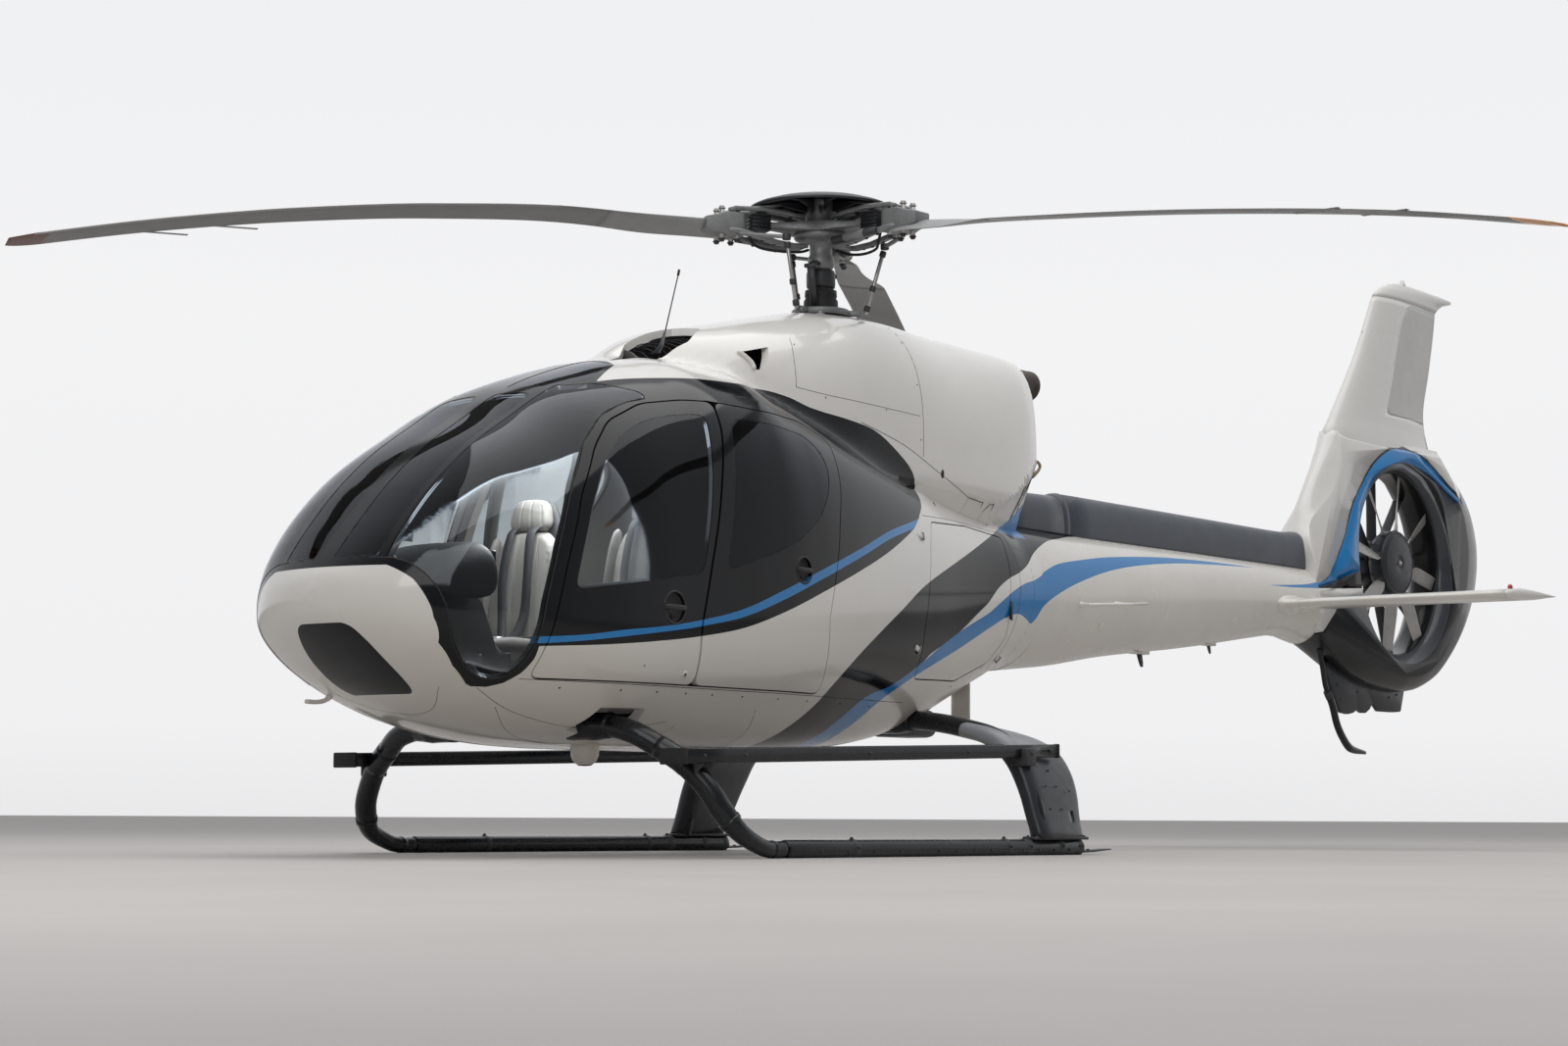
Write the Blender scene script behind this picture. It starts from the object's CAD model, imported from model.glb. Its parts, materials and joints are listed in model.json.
import json
import math
import random

import bmesh
import bpy
import numpy as np
from mathutils import Matrix, Vector

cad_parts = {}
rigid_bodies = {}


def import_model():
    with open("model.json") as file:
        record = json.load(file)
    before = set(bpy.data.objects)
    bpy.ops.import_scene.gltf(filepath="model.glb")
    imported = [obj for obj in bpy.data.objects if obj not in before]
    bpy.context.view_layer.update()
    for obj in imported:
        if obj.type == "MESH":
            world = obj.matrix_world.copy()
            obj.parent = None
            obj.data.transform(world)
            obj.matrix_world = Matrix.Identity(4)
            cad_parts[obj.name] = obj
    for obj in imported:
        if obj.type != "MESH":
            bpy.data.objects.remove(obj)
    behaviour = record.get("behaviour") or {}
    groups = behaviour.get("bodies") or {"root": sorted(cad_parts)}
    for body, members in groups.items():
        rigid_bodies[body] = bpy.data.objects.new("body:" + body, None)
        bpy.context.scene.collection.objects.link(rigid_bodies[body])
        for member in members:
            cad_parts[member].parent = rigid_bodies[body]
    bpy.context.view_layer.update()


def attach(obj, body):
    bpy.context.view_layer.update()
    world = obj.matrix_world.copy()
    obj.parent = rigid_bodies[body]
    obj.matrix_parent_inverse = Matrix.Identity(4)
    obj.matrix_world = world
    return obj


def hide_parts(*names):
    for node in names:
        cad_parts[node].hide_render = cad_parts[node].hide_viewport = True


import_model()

# Everything below is written from the rotor mast: x toward the nose, y to port, z above the ground.
# OFF moves it into the row frame, whose origin is the bottom centre of the whole box.
OFF = Vector((1.7399, -0.8406, 0.0))
RNG = random.Random(7)

# ------------------------------------------------------------------ sizes of the outer skin
# x, half width, top z, bottom z, z of greatest width, top power, bottom power
FUSELAGE = [
    (3.083, 0.057, 1.015, 0.930, 0.975, 2.0, 2.0),
    (3.070, 0.155, 1.050, 0.900, 0.970, 2.1, 2.0),
    (3.040, 0.265, 1.095, 0.860, 0.965, 2.2, 2.1),
    (2.980, 0.398, 1.170, 0.795, 0.950, 2.4, 2.1),
    (2.880, 0.533, 1.285, 0.710, 0.930, 2.6, 2.2),
    (2.740, 0.625, 1.430, 0.620, 0.920, 2.8, 2.2),
    (2.560, 0.690, 1.580, 0.545, 0.920, 2.9, 2.3),
    (2.350, 0.725, 1.715, 0.490, 0.930, 2.9, 2.5),
    (2.100, 0.745, 1.865, 0.450, 0.950, 2.8, 2.7),
    (1.900, 0.750, 1.945, 0.435, 0.980, 2.7, 2.8),
    (1.650, 0.750, 2.020, 0.430, 1.020, 2.6, 2.8),
    (1.400, 0.750, 2.060, 0.430, 1.060, 2.6, 2.8),
    (1.150, 0.745, 2.060, 0.430, 1.100, 2.6, 2.8),
    (0.900, 0.725, 2.020, 0.432, 1.130, 2.5, 2.7),
    (0.650, 0.690, 1.980, 0.436, 1.160, 2.4, 2.6),
    (0.400, 0.645, 1.940, 0.445, 1.190, 2.3, 2.5),
    (0.100, 0.585, 1.890, 0.465, 1.210, 2.2, 2.4),
    (-0.200, 0.520, 1.840, 0.505, 1.225, 2.1, 2.3),
    (-0.500, 0.455, 1.780, 0.580, 1.235, 2.0, 2.2),
    (-0.800, 0.400, 1.710, 0.690, 1.240, 2.0, 2.1),
    (-1.050, 0.365, 1.650, 0.788, 1.238, 2.0, 2.0),
    (-1.250, 0.340, 1.600, 0.862, 1.229, 2.0, 2.0),
    (-1.500, 0.3195, 1.594, 0.884, 1.239, 2.0, 2.0),
    (-1.750, 0.300, 1.5905, 0.9065, 1.2485, 2.0, 2.0),
]
# engine cowling: x, half width, top z, power
COWL = [
    (1.600, 0.060, 1.960, 2.0),
    (1.520, 0.110, 2.040, 2.1),
    (1.430, 0.170, 2.110, 2.2),
    (1.250, 0.290, 2.190, 2.4),
    (0.950, 0.380, 2.260, 2.6),
    (0.550, 0.430, 2.350, 2.7),
    (0.250, 0.450, 2.408, 2.7),
    (-0.200, 0.440, 2.435, 2.5),
    (-0.600, 0.415, 2.422, 2.3),
    (-0.950, 0.378, 2.408, 2.5),
    (-1.200, 0.335, 2.397, 2.9),
    (-1.330, 0.290, 2.388, 3.1),
]
COWL_MID, COWL_DOWN = 1.85, 0.28
COWL_END = -1.330
TIP = 3.090
WALL = 0.031        # cabin wall
DOOR_T = 0.026      # door leaf, 5 mm clear of the jamb behind it
DOOR_GAP = 0.0055
COWL_SPLIT_X = -0.190

# boom stations: x, half width, half height, centre z
BOOM = [(-1.255, .338, .367, 1.229), (-1.75, .300, .342, 1.2485), (-2.30, .262, .305, 1.2845), (-3.10, .225, .265, 1.326),
        (-4.05, .190, .205, 1.383), (-4.360, .180, .186, 1.400)]

FRONT_DOOR = [(2.535, 0.668), (2.540, 0.767), (2.515, 0.893), (2.455, 1.118), (2.355, 1.369), (2.215, 1.574),
              (2.090, 1.690), (1.870, 1.785), (1.630, 1.825), (1.455, 1.835), (1.478, 1.715), (1.565, 1.476),
              (1.660, 1.155), (1.722, 0.897), (1.700, 0.668)]
FRONT_WINDOW = [(2.425, 1.005), (2.380, 1.160), (2.312, 1.333), (2.210, 1.497), (2.070, 1.628), (1.920, 1.700),
                (1.780, 1.740), (1.600, 1.765), (1.540, 1.760), (1.562, 1.677), (1.625, 1.440), (1.668, 1.270),
                (1.715, 1.108), (2.110, 1.050)]
REAR_DOOR = [(1.700, 0.668), (1.722, 0.897), (1.660, 1.155), (1.565, 1.476), (1.478, 1.715), (1.455, 1.835),
             (0.820, 1.825), (0.630, 1.760), (0.690, 1.560), (0.755, 1.400), (0.785, 1.260), (0.855, 0.980),
             (0.800, 0.668)]
REAR_WINDOW = [(1.395, 1.765), (1.430, 1.666), (1.488, 1.452), (1.538, 1.258), (1.570, 1.130), (1.300, 1.208),
               (1.100, 1.280), (0.920, 1.392), (0.805, 1.525), (0.765, 1.630), (0.790, 1.705), (0.880, 1.755),
               (1.190, 1.775)]
BAGGAGE_DOOR = [(-0.080, 0.768), (-0.600, 0.782), (-0.930, 0.880), (-1.020, 1.000), (-0.985, 1.190), (-0.990, 1.400),
                (-1.000, 1.480), (-0.600, 1.500), (-0.180, 1.480), (-0.118, 1.350), (-0.097, 1.195), (-0.072, 0.997),
                (-0.084, 0.842)]
SIDE_SHIELD = [(2.600, 0.672), (2.585, 0.740), (2.572, 0.836), (2.550, 0.964), (2.488, 1.172), (2.382, 1.400),
               (2.245, 1.590), (2.100, 1.708), (1.950, 1.775), (1.810, 1.808), (1.810, 1.840), (1.950, 1.868),
               (2.090, 1.850), (2.150, 2.200), (3.300, 2.200), (3.300, 1.150), (2.975, 1.105), (2.932, 1.020),
               (2.905, 0.940), (2.885, 0.870), (2.848, 0.800), (2.775, 0.728), (2.700, 0.682), (2.640, 0.663)]
SIDE_SHIELD_Y = 0.282
CENTRE_SHIELD = [(2.170, 0.042), (3.060, 0.042), (3.060, 0.246), (2.170, 0.246)]
CENTRE_SHIELD_Z = 1.118
ROOF_WINDOW = [(2.120, 0.045), (1.640, 0.045), (1.700, 0.235), (1.960, 0.350), (2.100, 0.268)]
NOSE_CAP = [(3.300, 1.084), (3.000, 1.078), (2.968, 1.022), (2.948, 0.962), (2.923, 0.882), (2.873, 0.792),
            (2.780, 0.712), (2.680, 0.648), (2.560, 0.600), (2.440, 0.530), (2.400, 0.300), (3.300, 0.300)]

# ------------------------------------------------------------------ paint lines in the side plane
TEAR_TOP = [(1.986, 1.868), (1.796, 1.901), (1.489, 1.934), (1.213, 1.950), (0.895, 1.958), (0.748, 1.942), (0.640, 1.915),
            (0.545, 1.901), (0.380, 1.884), (0.184, 1.852), (0.018, 1.778), (-0.110, 1.690), (-0.153, 1.575), (-0.049, 1.480)]
TEAR_LOW = [(0.024, 1.430), (0.141, 1.377), (0.355, 1.287), (0.594, 1.199), (0.846, 1.110), (1.207, 0.982), (1.458, 0.908),
            (1.704, 0.865), (1.936, 0.836), (2.254, 0.806), (2.560, 0.787)]
BLUE_TOP = [(2.700, 0.818), (2.553, 0.823), (2.358, 0.839), (2.163, 0.866), (1.943, 0.891), (1.710, 0.928), (1.465, 0.983),
            (1.213, 1.071), (0.925, 1.177), (0.588, 1.293), (0.288, 1.396), (-0.049, 1.480), (-0.080, 1.500)]
BLUE_LOW = [(0.024, 1.430), (0.294, 1.360), (0.588, 1.257), (0.925, 1.138), (1.213, 1.032), (1.465, 0.951), (1.697, 0.906),
            (1.826, 0.885), (2.108, 0.848), (2.353, 0.817), (2.544, 0.799), (2.700, 0.792)]
BAND_TOP = [(-1.400, 1.640), (-1.250, 1.592), (-0.852, 1.466), (-0.564, 1.368), (-0.055, 1.184), (0.202, 1.050), (0.380, 0.952),
            (0.570, 0.832), (0.711, 0.710), (0.772, 0.629), (0.833, 0.545), (0.860, 0.476), (0.870, 0.400)]
BAND_LOW = [(0.472, 0.400), (0.482, 0.477), (0.480, 0.505), (0.441, 0.589), (0.337, 0.676), (0.135, 0.734), (-0.135, 0.852),
            (-0.184, 0.886), (-0.423, 0.976), (-0.662, 1.101), (-0.760, 1.154), (-0.852, 1.223), (-0.960, 1.310),
            (-1.100, 1.390), (-1.250, 1.440), (-1.400, 1.470)]
BLUE2_TOP = [(0.492, 0.400), (0.482, 0.477), (0.480, 0.505), (0.441, 0.589), (0.337, 0.676), (0.135, 0.734), (-0.135, 0.852),
             (-0.276, 0.920), (-0.521, 1.018), (-0.772, 1.105), (-0.870, 1.152), (-1.024, 1.227), (-1.140, 1.268),
             (-1.250, 1.293), (-1.400, 1.350)]
BLUE2_LOW = [(-1.400, 1.215), (-1.330, 1.170), (-1.250, 1.085), (-1.183, 1.101), (-1.091, 1.120), (-0.968, 1.097),
             (-0.846, 1.053), (-0.515, 0.930), (-0.166, 0.813), (0.031, 0.738), (0.190, 0.653), (0.290, 0.539),
             (0.300, 0.489), (0.305, 0.400)]
FRAME_OUT = [(2.560, 0.787), (2.575, 0.720), (2.600, 0.672), (2.650, 0.640)]


# ------------------------------------------------------------------ smooth body surface
def hermite(xs, ys, q):
    """Smooth curve through (xs, ys), xs ascending, that doesn't overshoot."""
    xs, ys, q = np.asarray(xs, float), np.asarray(ys, float), np.asarray(q, float)
    h = np.diff(xs)
    d = np.diff(ys) / h
    m = np.zeros_like(ys)
    w1, w2 = 2 * h[1:] + h[:-1], h[1:] + 2 * h[:-1]
    same = d[:-1] * d[1:] > 0
    with np.errstate(divide="ignore", invalid="ignore"):
        m[1:-1] = np.where(same, (w1 + w2) / (w1 / d[:-1] + w2 / d[1:]), 0)
    m[0], m[-1] = d[0], d[-1]
    i = np.clip(np.searchsorted(xs, q) - 1, 0, len(h) - 1)
    t = np.clip((q - xs[i]) / h[i], 0, 1)
    return ((2 * t**3 - 3 * t**2 + 1) * ys[i] + (t**3 - 2 * t**2 + t) * h[i] * m[i]
            + (-2 * t**3 + 3 * t**2) * ys[i + 1] + (t**3 - t**2) * h[i] * m[i + 1])


_F = np.array(FUSELAGE)[::-1]
_C = np.array(COWL)[::-1]


def _key(x):
    # the nose is blunt, so its shape runs smoothly against the root of the distance from the tip
    return -np.sqrt(np.maximum(TIP - np.asarray(x, float), 0.0))


_FK = np.append(_key(_F[:, 0]), 0.0)
_FV = np.vstack([_F[:, 1:], [0.0, 0.975, 0.970, 0.972, 2.0, 2.0]])


def fus(x):
    q = _key(x)
    return [hermite(_FK, _FV[:, j], q) for j in range(6)]


def radius(x, th, blend=0.055):
    """Distance from each section's centre (0, zm) to the skin, for stations x and angles th from +Y (same shape)."""
    x, th = np.broadcast_arrays(np.asarray(x, float), np.asarray(th, float))
    w, zt, zb, zm, pt, pb = fus(x)
    c, s = np.cos(th), np.sin(th)
    p = np.where(s >= 0, pt, pb)
    h = np.maximum(np.where(s >= 0, zt - zm, zm - zb), 1e-4)
    w = np.maximum(w, 1e-4)
    r = (np.abs(c / w) ** p + np.abs(s / h) ** p) ** (-1 / p)
    on = (x <= _C[-1, 0]) & (x >= _C[0, 0] - 1e-6) & (s > 0.05)
    if not on.any():
        return r, zm
    xc = np.clip(x, _C[0, 0], _C[-1, 0])
    cw, ct, cp = [hermite(_C[:, 0], _C[:, j], xc) for j in (1, 2, 3)]
    ch = np.maximum(ct - COWL_MID, 1e-3)

    def g(q):
        y, z = q * c, zm + q * s - COWL_MID
        up = z >= 0
        return np.abs(y / cw) ** np.where(up, cp, 6.0) + np.abs(z / np.where(up, ch, COWL_DOWN)) ** np.where(up, cp, 6.0) - 1
    lo = np.maximum((COWL_MID + 0.12 - zm) * s, 0.02)
    inside = (g(lo) < 0) & on
    hi = np.full_like(r, 2.0)
    for _ in range(34):
        mid = (lo + hi) / 2
        out = g(mid) > 0
        hi = np.where(out, mid, hi)
        lo = np.where(out, lo, mid)
    hmix = np.clip(0.5 + 0.5 * (hi - r) / blend, 0, 1)
    both = r * (1 - hmix) + hi * hmix + blend * hmix * (1 - hmix)
    return np.where(inside, both, r), zm


def body_point(x, th, inset=0.0):
    r, zm = radius(x, th)
    x, th = np.broadcast_arrays(np.asarray(x, float), np.asarray(th, float))
    p = np.stack([x, r * np.cos(th), zm + r * np.sin(th)], -1)
    return p if not inset else p - inset * body_normal(x, th)


def body_normal(x, th):
    x, th = np.broadcast_arrays(np.asarray(x, float), np.asarray(th, float))
    e, f = 2.5e-3, 2e-3
    x0 = np.minimum(x, TIP - 1e-4)
    a, b = np.minimum(x0 + e, TIP), x0 - e
    du = body_point(a, th) - body_point(b, th)
    dv = body_point(x0, th + f) - body_point(x0, th - f)
    n = np.cross(dv, du)
    n /= np.maximum(np.linalg.norm(n, axis=-1, keepdims=True), 1e-12)
    out = np.stack([np.zeros_like(x), np.cos(th), np.sin(th)], -1)
    n = np.where(((n * out).sum(-1) < 0)[..., None], -n, n)
    tip = x >= TIP - 1.5e-3
    n[tip] = (1, 0, 0)
    return n


def body_coords(p):
    """Station and angle of points near the skin, and how far outside it they are."""
    x = np.clip(p[:, 0], COWL_END - 0.3, TIP)
    zm = fus(x)[3]
    th = np.arctan2(p[:, 2] - zm, p[:, 1])
    r = radius(x, th)[0]
    return x, th, np.hypot(p[:, 1], p[:, 2] - zm) - r


def on_side(x, z, s=1, out=0.0):
    """The skin's point at station x and height z, on side s, and its normal."""
    th = np.linspace(-math.pi / 2, math.pi / 2, 1441)
    p = body_point(np.full_like(th, x), th)
    d = p[:, 2] - z
    k = np.nonzero(d[:-1] * d[1:] <= 0)[0]
    if len(k) == 0:
        k = [int(np.argmin(np.abs(d[:-1])))]
    j = max(k, key=lambda i: p[i, 1])
    t = d[j] / (d[j] - d[j + 1]) if d[j] != d[j + 1] else 0.0
    a = th[j] + (th[j + 1] - th[j]) * min(max(t, 0), 1)
    q = body_point(np.array([x]), np.array([a]))[0]
    n = body_normal(np.array([x]), np.array([a]))[0]
    q = q + n * out
    return Vector((q[0], s * q[1], q[2])), Vector((n[0], s * n[1], n[2]))


def on_plan(x, y, top=True, out=0.0):
    """The skin's point at station x and breadth y, on its top or its underside, and its normal."""
    th = np.linspace(0.02, math.pi - 0.02, 1441) * (1 if top else -1)
    p = body_point(np.full_like(th, x), th)
    d = p[:, 1] - y
    k = np.nonzero(d[:-1] * d[1:] <= 0)[0]
    if len(k) == 0:
        k = [int(np.argmin(np.abs(d[:-1])))]
    j = max(k, key=lambda i: p[i, 2] * (1 if top else -1))
    t = d[j] / (d[j] - d[j + 1]) if d[j] != d[j + 1] else 0.0
    a = th[j] + (th[j + 1] - th[j]) * min(max(t, 0), 1)
    q = body_point(np.array([x]), np.array([a]))[0]
    n = body_normal(np.array([x]), np.array([a]))[0]
    q = q + n * out
    return Vector(q), Vector(n)


# ------------------------------------------------------------------ mesh helpers
def mesh_object(name, verts, faces, fix=True):
    me = bpy.data.meshes.new(name)
    me.from_pydata([tuple(map(float, v)) for v in verts], [], [tuple(map(int, f)) for f in faces])
    me.update()
    ob = bpy.data.objects.new(name, me)
    bpy.context.scene.collection.objects.link(ob)
    if fix:
        bm = bmesh.new()
        bm.from_mesh(me)
        bmesh.ops.remove_doubles(bm, verts=bm.verts, dist=1e-6)
        bmesh.ops.recalc_face_normals(bm, faces=bm.faces)
        if bm.calc_volume(signed=True) < 0:
            bmesh.ops.reverse_faces(bm, faces=bm.faces)
        bm.to_mesh(me)
        bm.free()
    return ob


def loft(name, loops, closed=False, caps=True):
    """Skin a list of equal closed loops."""
    n = len(loops[0])
    verts = [p for lp in loops for p in lp]
    faces = []
    m = len(loops)
    for i in range(m if closed else m - 1):
        a, b = i * n, ((i + 1) % m) * n
        for j in range(n):
            k = (j + 1) % n
            faces.append((a + j, a + k, b + k, b + j))
    if not closed and caps:
        faces.append(tuple(range(n - 1, -1, -1)))
        faces.append(tuple((m - 1) * n + j for j in range(n)))
    return mesh_object(name, verts, faces)


def prism_y(name, outline, y0, y1):
    return loft(name, [[(x, y0, z) for x, z in outline], [(x, y1, z) for x, z in outline]])


def prism_z(name, outline, z0, z1):
    return loft(name, [[(x, y, z0) for x, y in outline], [(x, y, z1) for x, y in outline]])


def prism_x(name, outline, x0, x1):
    return loft(name, [[(x0, y, z) for y, z in outline], [(x1, y, z) for y, z in outline]])


def box(name, lo, hi, bevel=0.0, seg=2):
    ob = prism_z(name, [(lo[0], lo[1]), (hi[0], lo[1]), (hi[0], hi[1]), (lo[0], hi[1])], lo[2], hi[2])
    return rounded(ob, bevel, seg) if bevel else ob


def rounded(ob, width, seg=2, angle=30):
    """Round the sharp edges of a solid."""
    bm = bmesh.new()
    bm.from_mesh(ob.data)
    edges = [e for e in bm.edges if len(e.link_faces) == 2 and e.calc_face_angle(0) > math.radians(angle)]
    bmesh.ops.bevel(bm, geom=edges, offset=width, offset_type="OFFSET", segments=seg, profile=0.5, affect="EDGES", clamp_overlap=True)
    bm.to_mesh(ob.data)
    bm.free()
    return ob


def lathe(name, profile, centre=(0, 0, 0), axis="Z", n=32):
    """Turn a profile of (radius, height) pairs; a profile that starts and ends on the axis is closed there."""
    touching = profile[0][0] < 1e-9 and profile[-1][0] < 1e-9
    verts, faces = [], []

    def put(r, h, a):
        x, y = r * math.cos(a), r * math.sin(a)
        v = {"Z": (x, y, h), "Y": (x, h, y), "X": (h, x, y)}[axis]
        return tuple(c + d for c, d in zip(centre, v))
    prof = profile[1:-1] if touching else profile
    for r, h in prof:
        verts += [put(r, h, 2 * math.pi * k / n) for k in range(n)]
    m = len(prof)
    for i in range(m - 1 if touching else m):
        a, b = i * n, ((i + 1) % m) * n
        for k in range(n):
            j = (k + 1) % n
            faces.append((a + k, a + j, b + j, b + k))
    if touching:
        c0, c1 = len(verts), len(verts) + 1
        verts += [put(0, profile[0][1], 0), put(0, profile[-1][1], 0)]
        e = (m - 1) * n
        for k in range(n):
            j = (k + 1) % n
            faces += [(c0, j, k), (c1, e + k, e + j)]
    return mesh_object(name, verts, faces)


def smooth_path(points, n):
    """Points at even steps along a smooth curve through the given ones."""
    P = np.array([tuple(p) for p in points], float)
    d = np.r_[0, np.cumsum(np.linalg.norm(np.diff(P, axis=0), axis=1))]
    fine = np.linspace(0, d[-1], 400)
    # Catmull-Rom through the points
    out = []
    for q in fine:
        i = min(max(np.searchsorted(d, q) - 1, 0), len(P) - 2)
        t = (q - d[i]) / (d[i + 1] - d[i])
        p0, p1, p2, p3 = P[max(i - 1, 0)], P[i], P[i + 1], P[min(i + 2, len(P) - 1)]
        h = d[i + 1] - d[i]
        m1 = (p2 - p0) / max(d[i + 1] - d[max(i - 1, 0)], 1e-9) * h
        m2 = (p3 - p1) / max(d[min(i + 2, len(P) - 1)] - d[i], 1e-9) * h
        out.append((2 * t**3 - 3 * t**2 + 1) * p1 + (t**3 - 2 * t**2 + t) * m1 + (-2 * t**3 + 3 * t**2) * p2 + (t**3 - t**2) * m2)
    out = np.array(out)
    s = np.r_[0, np.cumsum(np.linalg.norm(np.diff(out, axis=0), axis=1))]
    q = np.linspace(0, s[-1], n)
    return [Vector([np.interp(v, s, out[:, k]) for k in range(3)]) for v in q]


def sweep(name, path, section, sizes=None, up=(0, 0, 1), closed=False):
    """Carry a closed 2-D section (side, up) along a path; sizes scale it at each point."""
    P = [Vector(p) for p in path]
    up = Vector(up)
    loops = []
    side = None
    for i, p in enumerate(P):
        if closed:
            t = (P[(i + 1) % len(P)] - P[i - 1]).normalized()
        elif i == 0:
            t = (P[1] - P[0]).normalized()
        elif i == len(P) - 1:
            t = (P[-1] - P[-2]).normalized()
        else:
            t = ((P[i + 1] - p).normalized() + (p - P[i - 1]).normalized()).normalized()
        if side is None:
            side = t.cross(up)
            if side.length < 0.05:
                side = t.cross(Vector((0, 1, 0)))
            side.normalize()
        else:
            side = (prev.rotation_difference(t) @ side).normalized()
        prev = t
        u = side.cross(t).normalized()
        k = sizes[i] if sizes else 1.0
        loops.append([p + side * (a * k) + u * (b * k) for a, b in section])
    return loft(name, loops, closed=closed)


def circle(r, n=16, flat=1.0):
    return [(r * math.cos(2 * math.pi * k / n), r * flat * math.sin(2 * math.pi * k / n)) for k in range(n)]


def pipe(name, path, r, n=16, sizes=None, flat=1.0):
    return sweep(name, path, circle(r, n, flat), sizes)


def rod(name, a, b, r, n=12, ends=0.15):
    """A round bar from a to b with chamfered ends."""
    a, b = Vector(a), Vector(b)
    L = (b - a).length
    t = (b - a) / L
    c = min(r * ends, L * 0.2)
    return sweep(name, [a, a + t * c, b - t * c, b], circle(r, n), [1 - ends, 1, 1, 1 - ends])


def bolt(name, at, direction, r=0.006, h=0.005, sides=6):
    """Hexagon head on a washer."""
    d = Vector(direction).normalized()
    at = Vector(at)
    w = sweep(name, [at - d * 0.002, at + d * h * 0.25], circle(r * 1.35, 14))
    k = sweep(name + "_k", [at + d * h * 0.2, at + d * h * 0.85, at + d * h], circle(r, sides), [1, 1, 0.82])
    return join(name, [w, k])


def join(name, obs):
    """One object from several, keeping their materials."""
    obs = [o for o in obs if o is not None]
    mats, verts, faces, idx, sm = [], [], [], [], []
    norms, has = [], False
    for o in obs:
        me = o.data
        base = len(verts)
        verts += [tuple(v.co) for v in me.vertices]
        own = [m for m in me.materials]
        for m in own:
            if m not in mats:
                mats.append(m)
        custom = me.has_custom_normals
        has = has or custom
        for p in me.polygons:
            faces.append([base + i for i in p.vertices])
            idx.append(mats.index(own[p.material_index]) if own else 0)
            sm.append(p.use_smooth)
        cn = me.corner_normals
        norms += [tuple(cn[i].vector) for i in range(len(me.loops))] if custom else [(0, 0, 0)] * len(me.loops)
    me = bpy.data.meshes.new(name)
    me.from_pydata(verts, [], faces)
    for m in mats:
        me.materials.append(m)
    me.polygons.foreach_set("material_index", idx)
    me.polygons.foreach_set("use_smooth", sm)
    if has:
        me.normals_split_custom_set(norms)
    me.update()
    for o in obs:
        bpy.data.objects.remove(o, do_unlink=True)
    ob = bpy.data.objects.new(name, me)
    bpy.context.scene.collection.objects.link(ob)
    return ob


def boolean(ob, other, op="DIFFERENCE", keep=True):
    md = ob.modifiers.new("cut", "BOOLEAN")
    md.operation = op
    md.solver = "MANIFOLD"
    md.object = other
    bpy.context.view_layer.update()
    dg = bpy.context.evaluated_depsgraph_get()
    me = bpy.data.meshes.new_from_object(ob.evaluated_get(dg))
    ob.modifiers.clear()
    old = ob.data
    ob.data = me
    bpy.data.meshes.remove(old)
    if not keep:
        bpy.data.objects.remove(other, do_unlink=True)
    return ob


def copy(ob, name):
    c = ob.copy()
    c.data = ob.data.copy()
    c.name = name
    bpy.context.scene.collection.objects.link(c)
    return c


def both(ob, cutter, name):
    """The part of ob inside cutter, as a new object, and ob left with the rest."""
    inside = copy(ob, name)
    boolean(inside, cutter, "INTERSECT")
    boolean(ob, cutter, "DIFFERENCE")
    return inside


def mirrored(ob, name):
    c = copy(ob, name)
    custom = c.data.has_custom_normals
    norms = [(v.vector[0], -v.vector[1], v.vector[2]) for v in c.data.corner_normals] if custom else None
    me = c.data
    verts = [(v.co[0], -v.co[1], v.co[2]) for v in me.vertices]
    faces, order = [], []
    for p in me.polygons:
        li = list(p.loop_indices)
        faces.append([me.loops[i].vertex_index for i in reversed(li)])
        order += list(reversed(li))
    new = bpy.data.meshes.new(name)
    new.from_pydata(verts, [], faces)
    for m in me.materials:
        new.materials.append(m)
    new.polygons.foreach_set("material_index", [p.material_index for p in me.polygons])
    new.polygons.foreach_set("use_smooth", [p.use_smooth for p in me.polygons])
    if custom:
        new.normals_split_custom_set([norms[i] for i in order])
    new.update()
    c.data = new
    bpy.data.meshes.remove(me)
    return c


def mirror_part(ob, name):
    """Mirror a plain solid across the centre plane."""
    return mirrored(ob, name)


def drop(*obs):
    for o in obs:
        bpy.data.objects.remove(o, do_unlink=True)


def move(ob, m):
    ob.data.transform(m)
    return ob


def grow(outline, d):
    """Offset a closed outline outward by d (inward when negative)."""
    pts = [np.array(p, float) for p in outline]
    area = sum(a[0] * b[1] - b[0] * a[1] for a, b in zip(pts, pts[1:] + pts[:1]))
    sg = 1.0 if area > 0 else -1.0
    out = []
    for i in range(len(pts)):
        a, b, c = pts[i - 1], pts[i], pts[(i + 1) % len(pts)]
        u = (b - a) / max(np.linalg.norm(b - a), 1e-9)
        v = (c - b) / max(np.linalg.norm(c - b), 1e-9)
        m = np.array([u[1], -u[0]]) * sg + np.array([v[1], -v[0]]) * sg
        m = m / max(1e-9, np.dot(m, m)) * 2
        k = np.linalg.norm(m)
        if k > 2.0:
            m = m / k * 2.0
        out.append(tuple(b + m * d))
    return out


def smooth(outline, r=0.04, steps=6):
    """Round every corner of an outline with short arcs."""
    pts = [np.array(p, float) for p in outline]
    out = []
    n = len(pts)
    for i in range(n):
        a, b, c = pts[i - 1], pts[i], pts[(i + 1) % n]
        la, lc = np.linalg.norm(a - b), np.linalg.norm(c - b)
        ra, rc = min(r, la * 0.45), min(r, lc * 0.45)
        p, q = b + (a - b) / la * ra, b + (c - b) / lc * rc
        for k in range(steps + 1):
            t = k / steps
            out.append(tuple((1 - t) ** 2 * p + 2 * t * (1 - t) * b + t * t * q))
    return out


def flowing(points, n=60):
    """A smooth open line through points in a plane."""
    return [(p[0], p[1]) for p in smooth_path([(a, b, 0) for a, b in points], n)]


# ------------------------------------------------------------------ materials
def nodes_of(m):
    return m.node_tree.nodes, m.node_tree.links


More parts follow.
